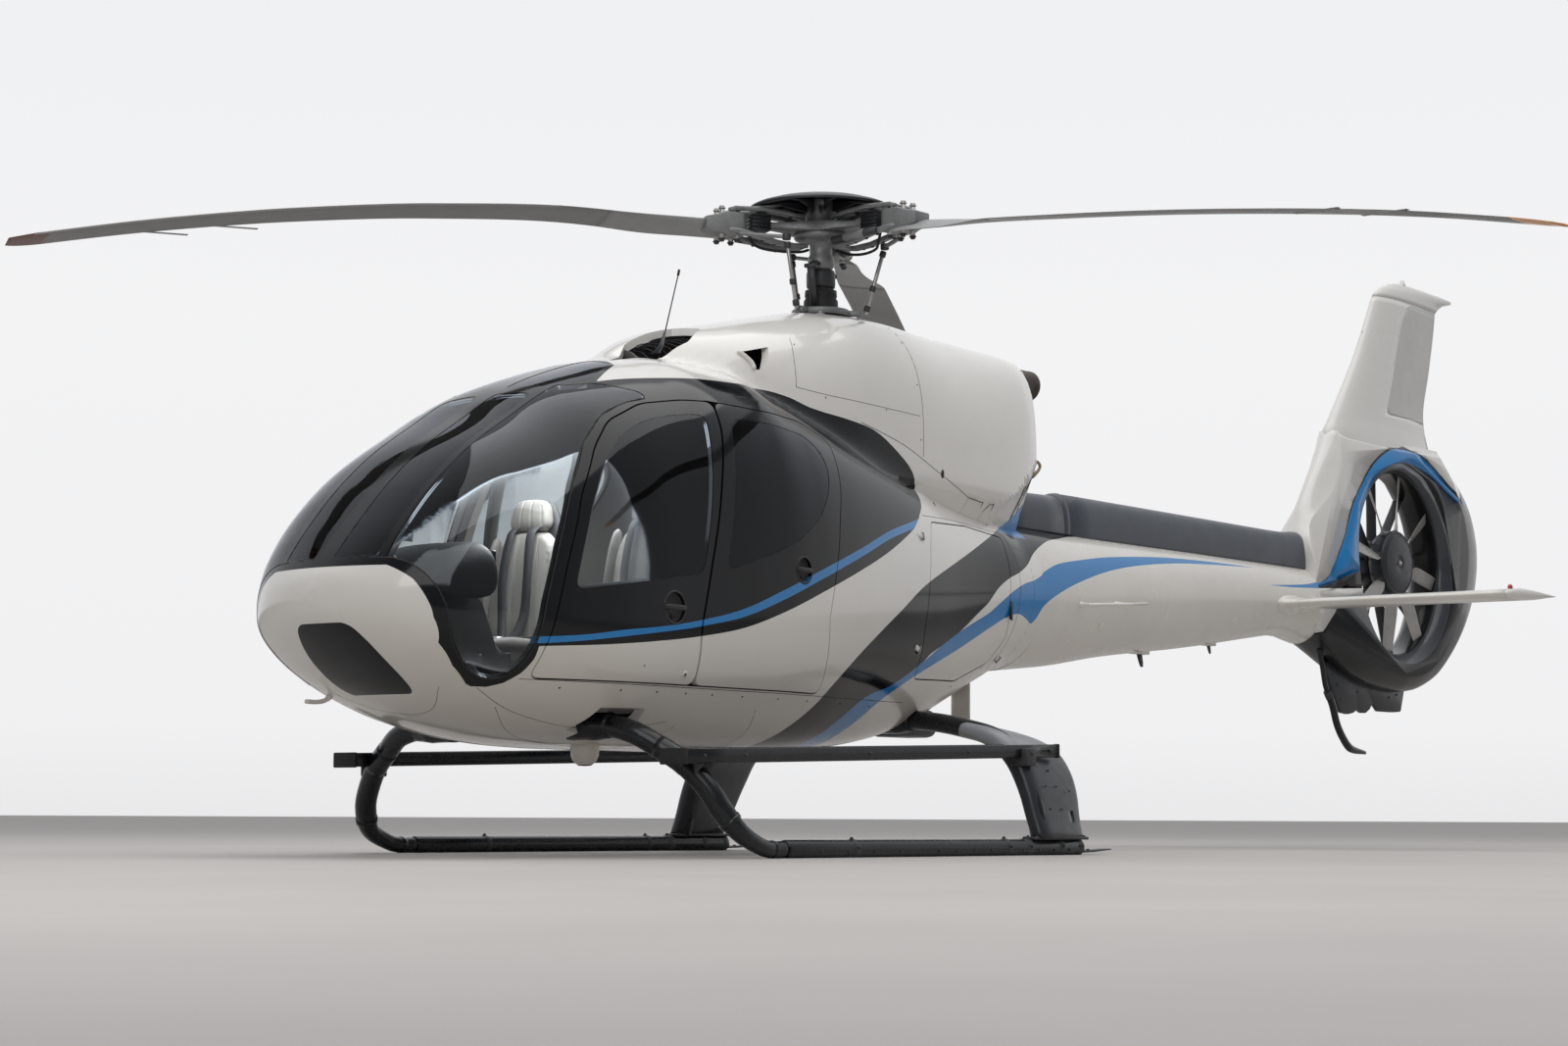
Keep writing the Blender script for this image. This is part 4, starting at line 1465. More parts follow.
# ------------------------------------------------------------------ landing gear
SKID_Y, SKID_R, SKID_X = 1.014, 0.0375, (1.560, -0.560)
for s, tag in ((1, "port"), (-1, "starboard")):
    sec = [(r * math.cos(t), max(r * math.sin(t), -0.0335)) for r, t in [(SKID_R, 2 * math.pi * k / 28) for k in range(28)]]
    x0, x1 = SKID_X[0] - 0.021, SKID_X[1]
    tube = sweep("tube", [(x, s * SKID_Y, 0.0335) for x in (x0, x0 - 0.01, 1.2, 0.6, 0.0, x1 + 0.01, x1)], sec, [0.95, 1, 1, 1, 1, 1, 0.95])
    parts = [paint(tube, GEAR, 40)]
    # wear shoes, collars and their bolts
    for xc, w in ((1.10, 0.030), (0.02, 0.030), (-0.135, 0.050), (-0.385, 0.040), (-0.535, 0.030)):
        parts.append(paint(sweep("collar", [(xc - w / 2, s * SKID_Y, 0.0338), (xc - w / 2 + 0.003, s * SKID_Y, 0.0338), (xc + w / 2 - 0.003, s * SKID_Y, 0.0338), (xc + w / 2, s * SKID_Y, 0.0338)],
                                 [(a * 1.0, b) for a, b in sec], [1.01, 1.035, 1.035, 1.01]), DARK_ALLOY, 40))
        parts.append(paint(bolt("b", (xc, s * (SKID_Y + 0.040), 0.040), (0, s, 0), 0.006, 0.007), DARK_ALLOY, 30))
        parts.append(paint(bolt("b", (xc, s * SKID_Y, 0.0745), (0, 0, 1), 0.006, 0.007), DARK_ALLOY, 30))
    for xa, xb in ((1.40, 0.75), (0.60, 0.10), (-0.02, -0.50)):
        shoe = prism_x("shoe", [(s * SKID_Y + y, z) for y, z in ((-0.028, 0.010), (-0.022, 0.0015), (0.022, 0.0015), (0.028, 0.010), (0.031, 0.018), (-0.031, 0.018))], xb, xa)
        parts.append(paint(rounded(shoe, 0.002, 1), DARK_ALLOY, 30))
        for xx in np.linspace(xb + 0.06, xa - 0.06, 4):
            parts.append(paint(bolt("b", (xx, s * (SKID_Y + 0.0375), 0.022), (0, s, -0.35), 0.004, 0.004), DARK_ALLOY, 30))
    place(join("skid_tube_%s_skin" % tag, parts), "airframe", ["skid_tube_" + tag])
    sp = loft("spring", [[(x, s * SKID_Y + y, z) for x, z in ((-0.5605, 0.0095), (-0.5605, 0.0165), (-0.660, 0.0205), (-0.780, 0.0262), (-0.792, 0.0248), (-0.792, 0.0212), (-0.700, 0.0150), (-0.640, 0.0110))]
                         for y in (-0.030, 0.030)])
    place(join("skid_spring_%s_skin" % tag, [paint(rounded(sp, 0.0015, 2), DARK_ALLOY, 30), paint(bolt("b", (-0.60, s * SKID_Y, 0.0180), (0, 0, 1), 0.008, 0.006), STEEL, 30),
                                             paint(bolt("b", (-0.64, s * SKID_Y, 0.0195), (0, 0, 1), 0.008, 0.006), DARK_ALLOY, 30)]),
          "airframe", ["skid_spring_" + tag])

path = [(1.5395, SKID_Y, 0.0335), (1.610, SKID_Y, 0.0336)] + FRONT_LEG[1:]
full = smooth_path([Vector(p) for p in path] + [Vector((2.000, 0.2, 0.5185)), Vector((2.0, 0, 0.5186)), Vector((2.0, -0.2, 0.5185))] + [Vector((x, -y, z)) for x, y, z in reversed(path)], 150)
rs = []
for p in full:
    q = abs(p.y)
    rs.append(0.0335 + (LEG_R - 0.0335) * min(max((p.z - 0.045) / 0.12, 0), 1))
front = sweep("front", full, circle(1.0, 24), rs)
boolean(front, box("cutter", (0, -2, -1), (4, 2, 0.0005)), keep=False)
parts = [paint(front, GEAR, 40)]
for s in (1, -1):
    for i0, w, k in ((16, 1, 1.08), (3, 1, 1.06)):
        seg = [Vector((p.x, s * p.y, p.z)) for p in full[i0:i0 + w + 1]]
        seg = [seg[0] + (seg[1] - seg[0]) * 0.001] + seg[1:]
        col = sweep("col", seg, circle(rs[i0 + 1] * k, 24))
        for v in col.data.vertices:
            v.co.z = max(v.co.z, 0.0004)
        parts.append(paint(col, GEAR, 40))
    # rubber sleeve where the leg enters the belly
    seg = [Vector((p.x, s * p.y, p.z)) for p in full[30:38]]
    parts.append(paint(sweep("sleeve", seg, circle(LEG_R * 1.03, 24)), GEAR, 40))
place(join("front_cross_tube_skin", parts), "airframe", ["front_cross_tube"])

# moulded black boots where the legs leave the belly
boots = []
for path_, rad in ((full, LEG_R), (smooth_path(across(REAR_LEG), 120), LEG_R)):
    depth_ = body_coords(np.array([tuple(p) for p in path_]))[2]
    for s in (1, -1):
        seg = [Vector((p.x, p.y, p.z)) for p, d in zip(path_, depth_) if p.y * s > 0.05 and -0.070 < d < 0.022]
        if len(seg) > 3:
            if abs(seg[0].y) < abs(seg[-1].y):
                seg = seg[::-1]
            n = len(seg)
            boots.append(paint(sweep("boot", seg, circle(1.0, 28), [rad + 0.003] + [rad + 0.003 + 0.019 * min(i / (n * 0.35), 1) for i in range(1, n)]), GEAR, 50))
if boots:
    place(join("leg_boots", boots), "airframe")

rp = smooth_path(across(REAR_LEG), 120)
rear_t = sweep("rear", rp, circle(LEG_R - 0.002, 24))
boolean(rear_t, box("cutter", (-1, -2, -1), (1, 2, 0.0715)), keep=False)
place(paint(rear_t, GEAR, 40), "airframe", ["rear_cross_tube"]).name = "rear_cross_tube_skin"
FAIRING = [(1.034, 0.0720, -0.568, 0.026), (1.000, 0.160, -0.592, 0.027), (0.965, 0.270, -0.622, 0.028), (0.925, 0.360, -0.636, 0.029),
           (0.880, 0.428, -0.636, 0.029), (0.820, 0.482, -0.622, 0.028), (0.740, 0.520, -0.590, 0.025), (0.620, 0.550, -0.540, 0.021)]
FA = np.array(FAIRING)
fd_ = np.r_[0, np.cumsum(np.hypot(np.diff(FA[:, 0]), np.diff(FA[:, 1])))]
for s, tag in ((1, "port"), (-1, "starboard")):
    loops = []
    qs = np.linspace(0, fd_[-1], 34)
    mid = smooth_path([(0, y, z) for y, z, _, _ in FAIRING], 34)
    for i, q in enumerate(qs):
        y, z = mid[i].y, mid[i].z
        xt, t = float(hermite(fd_, FA[:, 2], [q])[0]), float(hermite(fd_, FA[:, 3], [q])[0])
        a, b = mid[max(i - 1, 0)], mid[min(i + 1, 33)]
        k = math.hypot(b.y - a.y, b.z - a.z)
        ny, nz = ((b.z - a.z) / k, -(b.y - a.y) / k) if i else (1.0, 0.0)
        lead = -0.205
        sec = [(-0.205, 0.0), (-0.207, 0.45), (-0.213, 0.80), (-0.226, 1.05), (-0.256, 1.25), (-0.290, 1.20)] + [(xt + (-0.290 - xt) * u, h) for u, h in ((0.8, 1.08), (0.6, 0.92), (0.4, 0.72), (0.2, 0.46), (0.06, 0.26), (0.0, 0.12))]
        ring_ = [(x, h) for x, h in sec] + [(x, -h) for x, h in reversed(sec[1:])]
        loops.append([(x, s * (y + ny * t * h * 1.25), z + nz * t * h * 1.25) for x, h in ring_])
    lf = loft("fair", loops)
    # slot hole low on the aft edge
    boolean(lf, box("cutter", (-0.525, s * 1.0 - 0.1, 0.140), (-0.500, s * 1.0 + 0.1, 0.190)), keep=False)
    upper = both(lf, box("cutter", (-1, -2, 0.4555), (1, 2, 1)), "up")
    parts = [paint(lf, SLATE, 32), paint(upper, surface("upper_fairing_grey_" + tag, (0.30, 0.31, 0.33), 0.4, coat=0.2, vary=0.1, dirt=0.15, patch=5), 32)]
    drop(*[o for o in bpy.data.objects if o.name.startswith("cutter")])
    for xx, yy, zz in ((-0.32, 1.010, 0.20), (-0.32, 0.985, 0.30), (-0.42, 1.005, 0.20), (-0.42, 0.975, 0.30), (-0.52, 0.975, 0.28), (-0.40, 0.945, 0.37)):
        parts.append(paint(bolt("b", (xx, s * (yy + 0.020), zz), (0, s, 0.3), 0.004, 0.003), DARK_ALLOY, 30))
    # foot clamp on the skid
    parts.append(paint(rounded(box("foot", (-0.600, s * SKID_Y - 0.034, 0.066), (-0.170, s * SKID_Y + 0.034, 0.080)), 0.006, 2), DARK_ALLOY, 30))
    for xx in (-0.57, -0.48, -0.30, -0.20):
        for dy in (-0.024, 0.024):
            parts.append(paint(bolt("b", (xx, s * SKID_Y + dy, 0.080), (0, 0, 1), 0.006, 0.006), DARK_ALLOY, 30))
    place(join("rear_leg_fairing_%s_skin" % tag, parts), "airframe", ["rear_leg_fairing_" + tag])

    # running board: a folded channel with a grip top and end caps
    prof = [(0.830, 0.0), (0.830, -0.048), (0.836, -0.054), (0.842, -0.048), (0.842, -0.014), (0.946, -0.014), (0.946, -0.048), (0.952, -0.054), (0.958, -0.048), (0.958, 0.0), (0.954, 0.004), (0.834, 0.004)]

    def deck_z(x):
        return 0.412 + (0.482 - 0.412) * (2.050 - x) / 2.537
    board = loft("board", [[(x, s * y, deck_z(x) + z) for y, z in prof] for x in np.linspace(2.050, -0.487, 12)])
    for c in (pipe("cutter", across(FRONT_LEG), LEG_R + 0.004, 20), pipe("cutter", across(REAR_LEG), LEG_R + 0.004, 20),
              loft("cutter", [[(x0, s * y, z) for y, z in ((0.700, 0.380), (0.930, 0.380), (0.930, 0.600), (0.700, 0.600))] for x0 in (-0.150, -0.800)])):
        boolean(board, c, keep=False)
    parts = [paint(board, GEAR, 35)]
    for xa, xb in ((1.80, 1.10), (1.02, 0.30), (0.24, -0.08)):
        pad = loft("pad", [[(x, s * y, deck_z(x) + z) for y, z in ((0.842, 0.003), (0.842, 0.0058), (0.946, 0.0058), (0.946, 0.003))] for x in (xa, xb)])
        parts.append(paint(pad, GRIP, 30))
    for xe, d in ((2.050, 1), (-0.487, -1)):
        y_in = 0.828 if d > 0 else 0.932
        ec = box("end", (min(xe, xe + d * 0.016), s * 0.894 - 0.066 if d > 0 else min(s * y_in, s * 0.960), deck_z(xe) - 0.057), (max(xe, xe + d * 0.016), s * 0.894 + 0.066 if d > 0 else max(s * y_in, s * 0.960), deck_z(xe) + 0.006))
        parts.append(paint(rounded(ec, 0.005, 2), RUBBER, 30))
    for xx in (1.95, 1.70, 0.9, 0.2, -0.43):
        parts.append(paint(bolt("b", (xx, s * 0.958, deck_z(xx) - 0.025), (0, s, 0), 0.006, 0.005), DARK_ALLOY, 30))
    # brackets that carry the board on the legs
    for xb_, yb_, zb_ in ((1.915, 0.872, 0.330), (-0.235, 0.945, 0.395)):
        br = rounded(box("br", (xb_ - 0.035, s * yb_ - 0.045, zb_ - 0.010), (xb_ + 0.035, s * yb_ + 0.045, deck_z(xb_) - 0.012)), 0.006, 2)
        boolean(br, pipe("cutter", across(FRONT_LEG if xb_ > 0 else REAR_LEG), LEG_R - 0.004, 20), keep=False)
        parts.append(paint(br, DARK_ALLOY, 30))
        parts.append(paint(bolt("b", (xb_, s * (yb_ + 0.045), zb_ + 0.045), (0, s, 0), 0.007, 0.006), DARK_ALLOY, 30))
    place(join("step_board_%s_skin" % tag, parts), "airframe", ["step_board_" + tag])

# ------------------------------------------------------------------ main rotor
HUB_Z, ROTOR_R, BLADE_CHORD, BLADE_ROOT = 2.830, 3.620, 0.230, 0.560
BLADE_R = (0.560, 0.780, 1.200, 1.800, 2.400, 3.000, 3.450, ROTOR_R)
BLADE_Z = ((2.818, 2.818, 2.828, 2.797, 2.734, 2.643, 2.556, 2.520),
           (2.793, 2.774, 2.741, 2.688, 2.620, 2.535, 2.452, 2.418),
           (2.793, 2.774, 2.741, 2.688, 2.620, 2.535, 2.452, 2.418))
BLADE_AZ = (-30.6, 89.4, 209.4)
for k, az in enumerate(BLADE_AZ):
    a = math.radians(az)
    er, et = Vector((math.cos(a), math.sin(a), 0)), Vector((-math.sin(a), math.cos(a), 0))
    groups = {}
    rr = np.unique(np.concatenate([np.linspace(0.46, 0.56, 4), np.linspace(0.56, 1.0, 16), np.linspace(1.0, 3.45, 36), np.linspace(3.45, ROTOR_R, 10)]))
    RZ = np.array(BLADE_Z[k])

    def section(r):
        z = float(hermite(BLADE_R, RZ, [max(r, 0.56)])[0])
        if r < 0.56:
            z = float(RZ[0])
        grow_ = min(max((r - 0.60) / 0.45, 0), 1)
        grow_ = grow_ * grow_ * (3 - 2 * grow_)
        c = 0.150 + (BLADE_CHORD - 0.150) * grow_
        if r > 3.45:
            c *= math.sqrt(max(1 - ((r - 3.45) / 0.185) ** 2 * 0.75, 0.02))
        t = 0.030 + (0.0145 - 0.030) * grow_
        if r > 3.55:
            t *= 0.75
        twist = math.radians(8.0 * (1 - 0.7 * (r - 0.6) / 3.0) + 14.0 * (1 - grow_))
        pts = []
        for u, h in foil(0.27 * c, -0.73 * c, t * 0.5, 22, 0.0016):
            uu, hh = u * math.cos(twist) - h * math.sin(twist), u * math.sin(twist) + h * math.cos(twist)
            pts.append(er * r + et * uu + Vector((0, 0, z + hh)))
        return pts
    for name, lo, hi, mat in (("root", 0.46, 1.02, BLADE_ROOT_M), ("span", 1.02, 3.46, BLADE), ("tip", 3.46, ROTOR_R, ORANGE if k else RUST)):
        rs_ = sorted(set([lo, hi] + [float(r) for r in rr if lo < r < hi]))
        groups[name] = paint(loft("bl", [section(r) for r in rs_]), mat, 40)
    parts = list(groups.values())
    # bonded steel strip along the leading edge, and trim tabs at the trailing edge
    strip = []
    for r in np.linspace(1.25, 3.52, 40):
        S = section(float(r))
        n = len(S)
        c0 = S[0]
        mid_ = sum(S, Vector()) / n
        ring_ = [S[3], S[2], S[1], S[0], S[n - 1], S[n - 2], S[n - 3], S[n - 4]]
        outp = [mid_ + (p - mid_) * 1.006 + (Vector((0, 0, 0.0006)) if j < 3 else (Vector((0, 0, -0.0006)) if j > 4 else Vector())) for j, p in enumerate(ring_)]
        strip.append(outp)
    parts.append(paint(loft("strip", strip), EDGE_STEEL, 40))
    for r0_ in (2.55, 2.85):
        z = float(hermite(BLADE_R, RZ, [r0_ + 0.1])[0])
        q = [er * (r0_ + dr) + et * (-0.165 + du) + Vector((0, 0, z - 0.022 + dz)) for dz in (0, 0.0016) for dr, du in ((0, 0), (0.2, 0), (0.2, -0.028), (0, -0.028))]
        parts.append(paint(loft("tab", [q[:4], q[4:]]), BLADE_ROOT_M, 30))
    place(join("rotor_blade_%d_skin" % (k + 1), parts), "main_rotor", ["rotor_blade_%d" % (k + 1)])


def arm_frame(az):
    return Matrix.Rotation(math.radians(az), 4, "Z")


hub_bits = []
mast = lathe("mast", [(0, 2.300), (0.046, 2.300), (0.046, 2.640), (0.050, 2.645), (0.060, 2.660), (0.060, 2.700), (0.052, 2.712), (0.052, 2.760), (0.075, 2.772), (0.118, 2.782),
                      (0.124, 2.790), (0.124, 2.806), (0.112, 2.812), (0.085, 2.816), (0.080, 2.850), (0.062, 2.862), (0.068, 2.868), (0.070, 2.905), (0.060, 2.912), (0, 2.914)], n=48)
hub_bits.append(paint(mast, CAST, 28))
sleeve = lathe("sleeve", [(0.0465, 2.560), (0.064, 2.562), (0.066, 2.575), (0.066, 2.628), (0.060, 2.640), (0.0465, 2.642)], n=40)
hub_bits.append(paint(sleeve, DARK_ALLOY, 28))
# dish cap: thin spun bowl, ribs below it
dish = lathe("dish", [(0.060, 2.960), (0.080, 2.962), (0.160, 2.952), (0.240, 2.938), (0.296, 2.925), (0.318, 2.918), (0.326, 2.919), (0.329, 2.923), (0.327, 2.929), (0.300, 2.942),
                      (0.240, 2.960), (0.170, 2.974), (0.100, 2.984), (0.060, 2.986)], n=96)
hub_bits.append(paint(dish, SLATE, 40))
can = lathe("can", [(0, 2.870), (0.064, 2.870), (0.070, 2.876), (0.070, 2.958), (0.066, 2.966), (0, 2.970)], n=48)
boolean(can, lathe("cutter", [(0, 0.03), (0.011, 0.03), (0.011, 0.10), (0, 0.10)], (0, 0, 2.925), "X", 20), keep=False)
c2 = lathe("cutter", [(0, 0.03), (0.011, 0.03), (0.011, 0.10), (0, 0.10)], (0, 0, 0), "X", 20)
move(c2, Matrix.Translation((0, 0, 2.925)) @ Matrix.Rotation(math.radians(37.7), 4, "Z"))
boolean(can, c2, keep=False)
hub_bits.append(paint(can, CAST, 30))
for i in range(9):
    R = arm_frame(i * 40 + 10)
    rib = loft("rib", [[(0.066, y, 2.905), (0.066, y, 2.962), (0.200, y, 2.949), (0.305, y, 2.925), (0.300, y, 2.920), (0.200, y, 2.930)] for y in (-0.003, 0.003)])
    hub_bits.append(paint(move(rib, R), SLATE, 30))
for i in range(12):
    a = 2 * math.pi * i / 12
    hub_bits.append(paint(bolt("b", (0.100 * math.cos(a), 0.100 * math.sin(a), 2.812), (0, 0, 1), 0.008, 0.008), STEEL, 30))
for az in BLADE_AZ:
    R = arm_frame(az)
    az_parts = []
    # star arm: wide root plate that narrows and forks round the elastomer block
    star = loft("star", [[(x, y, z) for y, z in ((-w, HUB_Z - t), (w, HUB_Z - t), (w * 0.92, HUB_Z + t), (-w * 0.92, HUB_Z + t))]
                         for x, w, t in ((0.0, 0.115, 0.022), (0.08, 0.112, 0.022), (0.135, 0.090, 0.020), (0.175, 0.060, 0.016), (0.24, 0.044, 0.013), (0.33, 0.040, 0.012))])
    az_parts.append(paint(rounded(star, 0.004, 2), CAST, 32))
    for sy in (1, -1):
        # fork bars above and below, leaning in to the hub
        up = sweep("upbar", [(0.10, sy * 0.052, 2.868), (0.18, sy * 0.058, 2.882), (0.30, sy * 0.060, 2.893), (0.44, sy * 0.058, 2.888), (0.47, sy * 0.057, 2.880)],
                   [(a * 0.012, b * 0.010) for a, b in ((-1, -1), (1, -1), (1, 1), (-1, 1))], [0.8, 1, 1, 1, 0.8])
        lo = sweep("lobar", [(0.085, sy * 0.050, 2.742), (0.16, sy * 0.056, 2.736), (0.24, sy * 0.062, 2.744), (0.34, sy * 0.064, 2.768), (0.43, sy * 0.060, 2.786), (0.47, sy * 0.057, 2.790)],
                   [(a * 0.014, b * 0.012) for a, b in ((-1, -1), (1, -1), (1, 1), (-1, 1))], [0.8, 1, 1, 1, 1, 0.8])
        az_parts += [paint(rounded(up, 0.003, 1), CAST, 32), paint(rounded(lo, 0.003, 1), CAST, 32)]
        for xx in (0.20, 0.25, 0.31, 0.37):
            az_parts.append(paint(bolt("b", (xx, sy * 0.062, 2.742 + max(xx - 0.22, 0) * 0.2 - 0.012), (0, 0, -1), 0.006, 0.006), DARK_ALLOY, 30))
    # cross plates
    for xx, zz, ww in ((0.300, 2.893, 0.070), (0.420, 2.889, 0.074)):
        az_parts.append(paint(rounded(box("pl", (xx - 0.020, -ww, zz - 0.006), (xx + 0.020, ww, zz + 0.008)), 0.003, 1), CAST, 32))
    az_parts.append(paint(rounded(box("pl", (0.100, -0.066, 2.728), (0.150, 0.066, 2.742)), 0.003, 1), CAST, 32))
    # laminated elastomer block
    for i, zz in enumerate(np.linspace(2.800, 2.868, 9)):
        wv = 0.046 if i % 2 else 0.050
        az_parts.append(paint(rounded(box("lam", (0.262, -wv, zz), (0.352, wv, zz + 0.0078)), 0.0015, 1), RUBBER if i % 2 else SLATE, 32))
    # blade clamp with through bolts
    clamp = loft("clamp", [[(x, y, z) for y, z in ((-w, HUB_Z - 0.012 - t), (w, HUB_Z - 0.012 - t), (w, HUB_Z - 0.012 + t), (-w, HUB_Z - 0.012 + t))]
                           for x, w, t in ((0.380, 0.050, 0.044), (0.400, 0.066, 0.054), (0.480, 0.068, 0.054), (0.520, 0.060, 0.040), (0.575, 0.055, 0.028))])
    az_parts.append(paint(rounded(clamp, 0.006, 2), CAST, 32))
    for xx, yy in ((0.425, 0.040), (0.425, -0.040), (0.495, 0.036), (0.495, -0.036)):
        az_parts.append(paint(rod("pin", (xx, yy, 2.745), (xx, yy, 2.890), 0.012, 16), STEEL, 30))
        az_parts.append(paint(bolt("b", (xx, yy, 2.888), (0, 0, 1), 0.012, 0.012), STEEL, 30))
        az_parts.append(paint(bolt("b", (xx, yy, 2.748), (0, 0, -1), 0.012, 0.012), DARK_ALLOY, 30))
    # pitch horn, damper and hose
    horn = sweep("horn", smooth_path([(0.43, 0.060, 2.775), (0.36, 0.105, 2.764), (0.28, 0.150, 2.756), (0.235, 0.172, 2.752)], 12), [(a * 0.013, b * 0.009) for a, b in circle(1, 10)], None)
    az_parts.append(paint(horn, CAST, 40))
    az_parts.append(paint(lathe("eye", [(0, 2.738), (0.018, 2.738), (0.020, 2.744), (0.020, 2.760), (0.018, 2.766), (0, 2.766)], (0.235, 0.172, 0), n=24), DARK_ALLOY, 30))
    damp = rod("damp", (0.13, -0.085, 2.755), (0.38, -0.078, 2.775), 0.017, 20, 0.25)
    az_parts.append(paint(damp, DARK_ALLOY, 35))
    az_parts.append(paint(rod("damp2", (0.20, -0.083, 2.7605), (0.31, -0.080, 2.770), 0.021, 20, 0.15), CAST, 35))
    hose = pipe("hose", smooth_path([(0.07, 0.02, 2.730), (0.12, 0.05, 2.712), (0.20, 0.06, 2.706), (0.29, 0.035, 2.716), (0.33, 0.0, 2.742), (0.35, -0.01, 2.782)], 30), 0.0065, 10)
    az_parts.append(paint(hose, RUBBER, 50))
    # pitch link down to the swashplate, leaning a little
    top, low = Vector((0.235, 0.172, 2.748)), Vector((0.165, 0.120, 2.440))
    d = (low - top).normalized()
    az_parts.append(paint(rod("link", top + d * 0.02, low, 0.0095, 14), STEEL, 30))
    for f in (0.10, 0.62, 0.92):
        q = top + (low - top) * f
        az_parts.append(paint(rod("lc", q - d * 0.014, q + d * 0.014, 0.015, 14, 0.2), DARK_ALLOY, 30))
    hub_bits += [move(o, R) for o in az_parts]
# drive scissors
for az in (20.0, 200.0):
    R = arm_frame(az)
    sc = [sweep("sc", [(0.055, 0, 2.665), (0.10, 0, 2.668), (0.155, 0, 2.640)], [(a * 0.020, b * 0.007) for a, b in circle(1, 10)], [1, 0.9, 1]),
          sweep("sc", [(0.155, 0, 2.638), (0.130, 0, 2.560), (0.100, 0, 2.470)], [(a * 0.018, b * 0.007) for a, b in circle(1, 10)], [1, 0.9, 1]),
          rod("scp", (0.155, -0.028, 2.640), (0.155, 0.028, 2.640), 0.010, 14)]
    hub_bits += [move(paint(o, DARK_ALLOY, 40), R) for o in sc]
# rotating swashplate ring with its lugs
swr = lathe("swr", [(0.095, 2.428), (0.128, 2.428), (0.134, 2.434), (0.134, 2.452), (0.128, 2.458), (0.095, 2.458)], n=56)
hub_bits.append(paint(swr, CAST, 30))
for az in BLADE_AZ:
    lug = rounded(box("lug", (0.125, -0.016, 2.430), (0.185, 0.016, 2.456)), 0.004, 2)
    hub_bits.append(move(paint(lug, CAST, 30), Matrix.Rotation(math.radians(az) + math.atan2(0.120, 0.165), 4, "Z")))
place(join("rotor_head", hub_bits), "main_rotor", ["rotor_hub", "hub_cap"])

# fixed: boot, swashplate base and gearbox cover plate
boot = lathe("boot", [(0.0485, 2.300), (0.110, 2.300), (0.112, 2.345), (0.104, 2.352), (0.108, 2.362), (0.098, 2.376), (0.102, 2.386), (0.092, 2.400), (0.094, 2.410), (0.088, 2.424),
                      (0.080, 2.450), (0.078, 2.500), (0.070, 2.512), (0.074, 2.522), (0.072, 2.548), (0.0485, 2.552)], n=56)
base = lathe("base", [(0.100, 2.335), (0.150, 2.335), (0.158, 2.342), (0.160, 2.362), (0.152, 2.372), (0.100, 2.374)], n=56)
ringf = lathe("ringf", [(0.088, 2.398), (0.122, 2.398), (0.128, 2.404), (0.128, 2.418), (0.122, 2.4245), (0.088, 2.4245)], n=56)
plate_ = prism_z("plate", smooth([(0.225, 0.130), (0.235, -0.120), (-0.200, -0.150), (-0.255, -0.02), (-0.215, 0.150)], 0.06, 8), 2.385, 2.400)
boolean(plate_, lathe("cutter", [(0, 2.2), (0.090, 2.2), (0.090, 2.6), (0, 2.6)], n=40), keep=False)
mh = [paint(boot, RUBBER, 40), paint(base, CAST, 30), paint(ringf, DARK_ALLOY, 30)]
for az in (37.0, 142.0, 262.0):
    R = arm_frame(az)
    mh.append(paint(move(rounded(box("leg", (0.110, -0.020, 2.395), (0.215, 0.020, 2.412)), 0.004, 2), R), CAST, 30))
    mh.append(paint(move(rod("act", (0.200, 0, 2.405), (0.215, 0, 2.300), 0.014, 16), R), STEEL, 30))
    mh.append(paint(move(bolt("b", (0.200, 0, 2.412), (0, 0, 1), 0.010, 0.010), R), STEEL, 30))
drop(plate_)
place(join("swashplate_base", mh), "airframe", ["mast_housing"])


# ------------------------------------------------------------------ cabin
FLOOR_Z = 0.600


def cabin_section(x, inset):
    w, zt, zb, zm, pt, pb = [float(v[0]) for v in fus(np.array([x]))]
    return [(x, y, z) for y, z in [(yy, zm + zz) for yy, zz in superellipse(w - inset, zt - zm - inset, zm - zb - inset, pt, 72, pb)]]


floor_solid = loft("cabin_floor", [cabin_section(x, WALL + 0.001) for x in np.linspace(0.475, 2.93, 30)])
boolean(floor_solid, box("cutter", (-1, -2, FLOOR_Z), (4, 2, 3)), keep=False)
boolean(floor_solid, box("cutter", (-1, -2, -1), (4, 2, 0.560)), keep=False)
for s in (1, -1):
    boolean(floor_solid, side(SIDE_SHIELD[:6] + [(3.3, 1.4), (3.3, 0.3), (2.6, 0.3)], s, 0.28, 1.2), keep=False)
place(paint(floor_solid, CARPET, 30), "airframe").name = "cabin_floor_carpet"
bulk = loft("bulkhead", [cabin_section(0.470, WALL + 0.0008), cabin_section(0.500, WALL + 0.0008)])
boolean(bulk, box("cutter", (-1, -2, -1), (4, 2, FLOOR_Z)), keep=False)
place(paint(bulk, LINER, 30), "airframe").name = "cabin_bulkhead"


def cushion(name, loops, mats=LEATHER, sub=1):
    """A padded form through a few closed loops, smoothed by subdivision."""
    o = loft(name, loops)
    md = o.modifiers.new("s", "SUBSURF")
    md.levels = md.render_levels = sub
    bpy.context.view_layer.update()
    me = bpy.data.meshes.new_from_object(o.evaluated_get(bpy.context.evaluated_depsgraph_get()))
    o.modifiers.clear()
    o.data = me
    return paint(o, mats, 180)


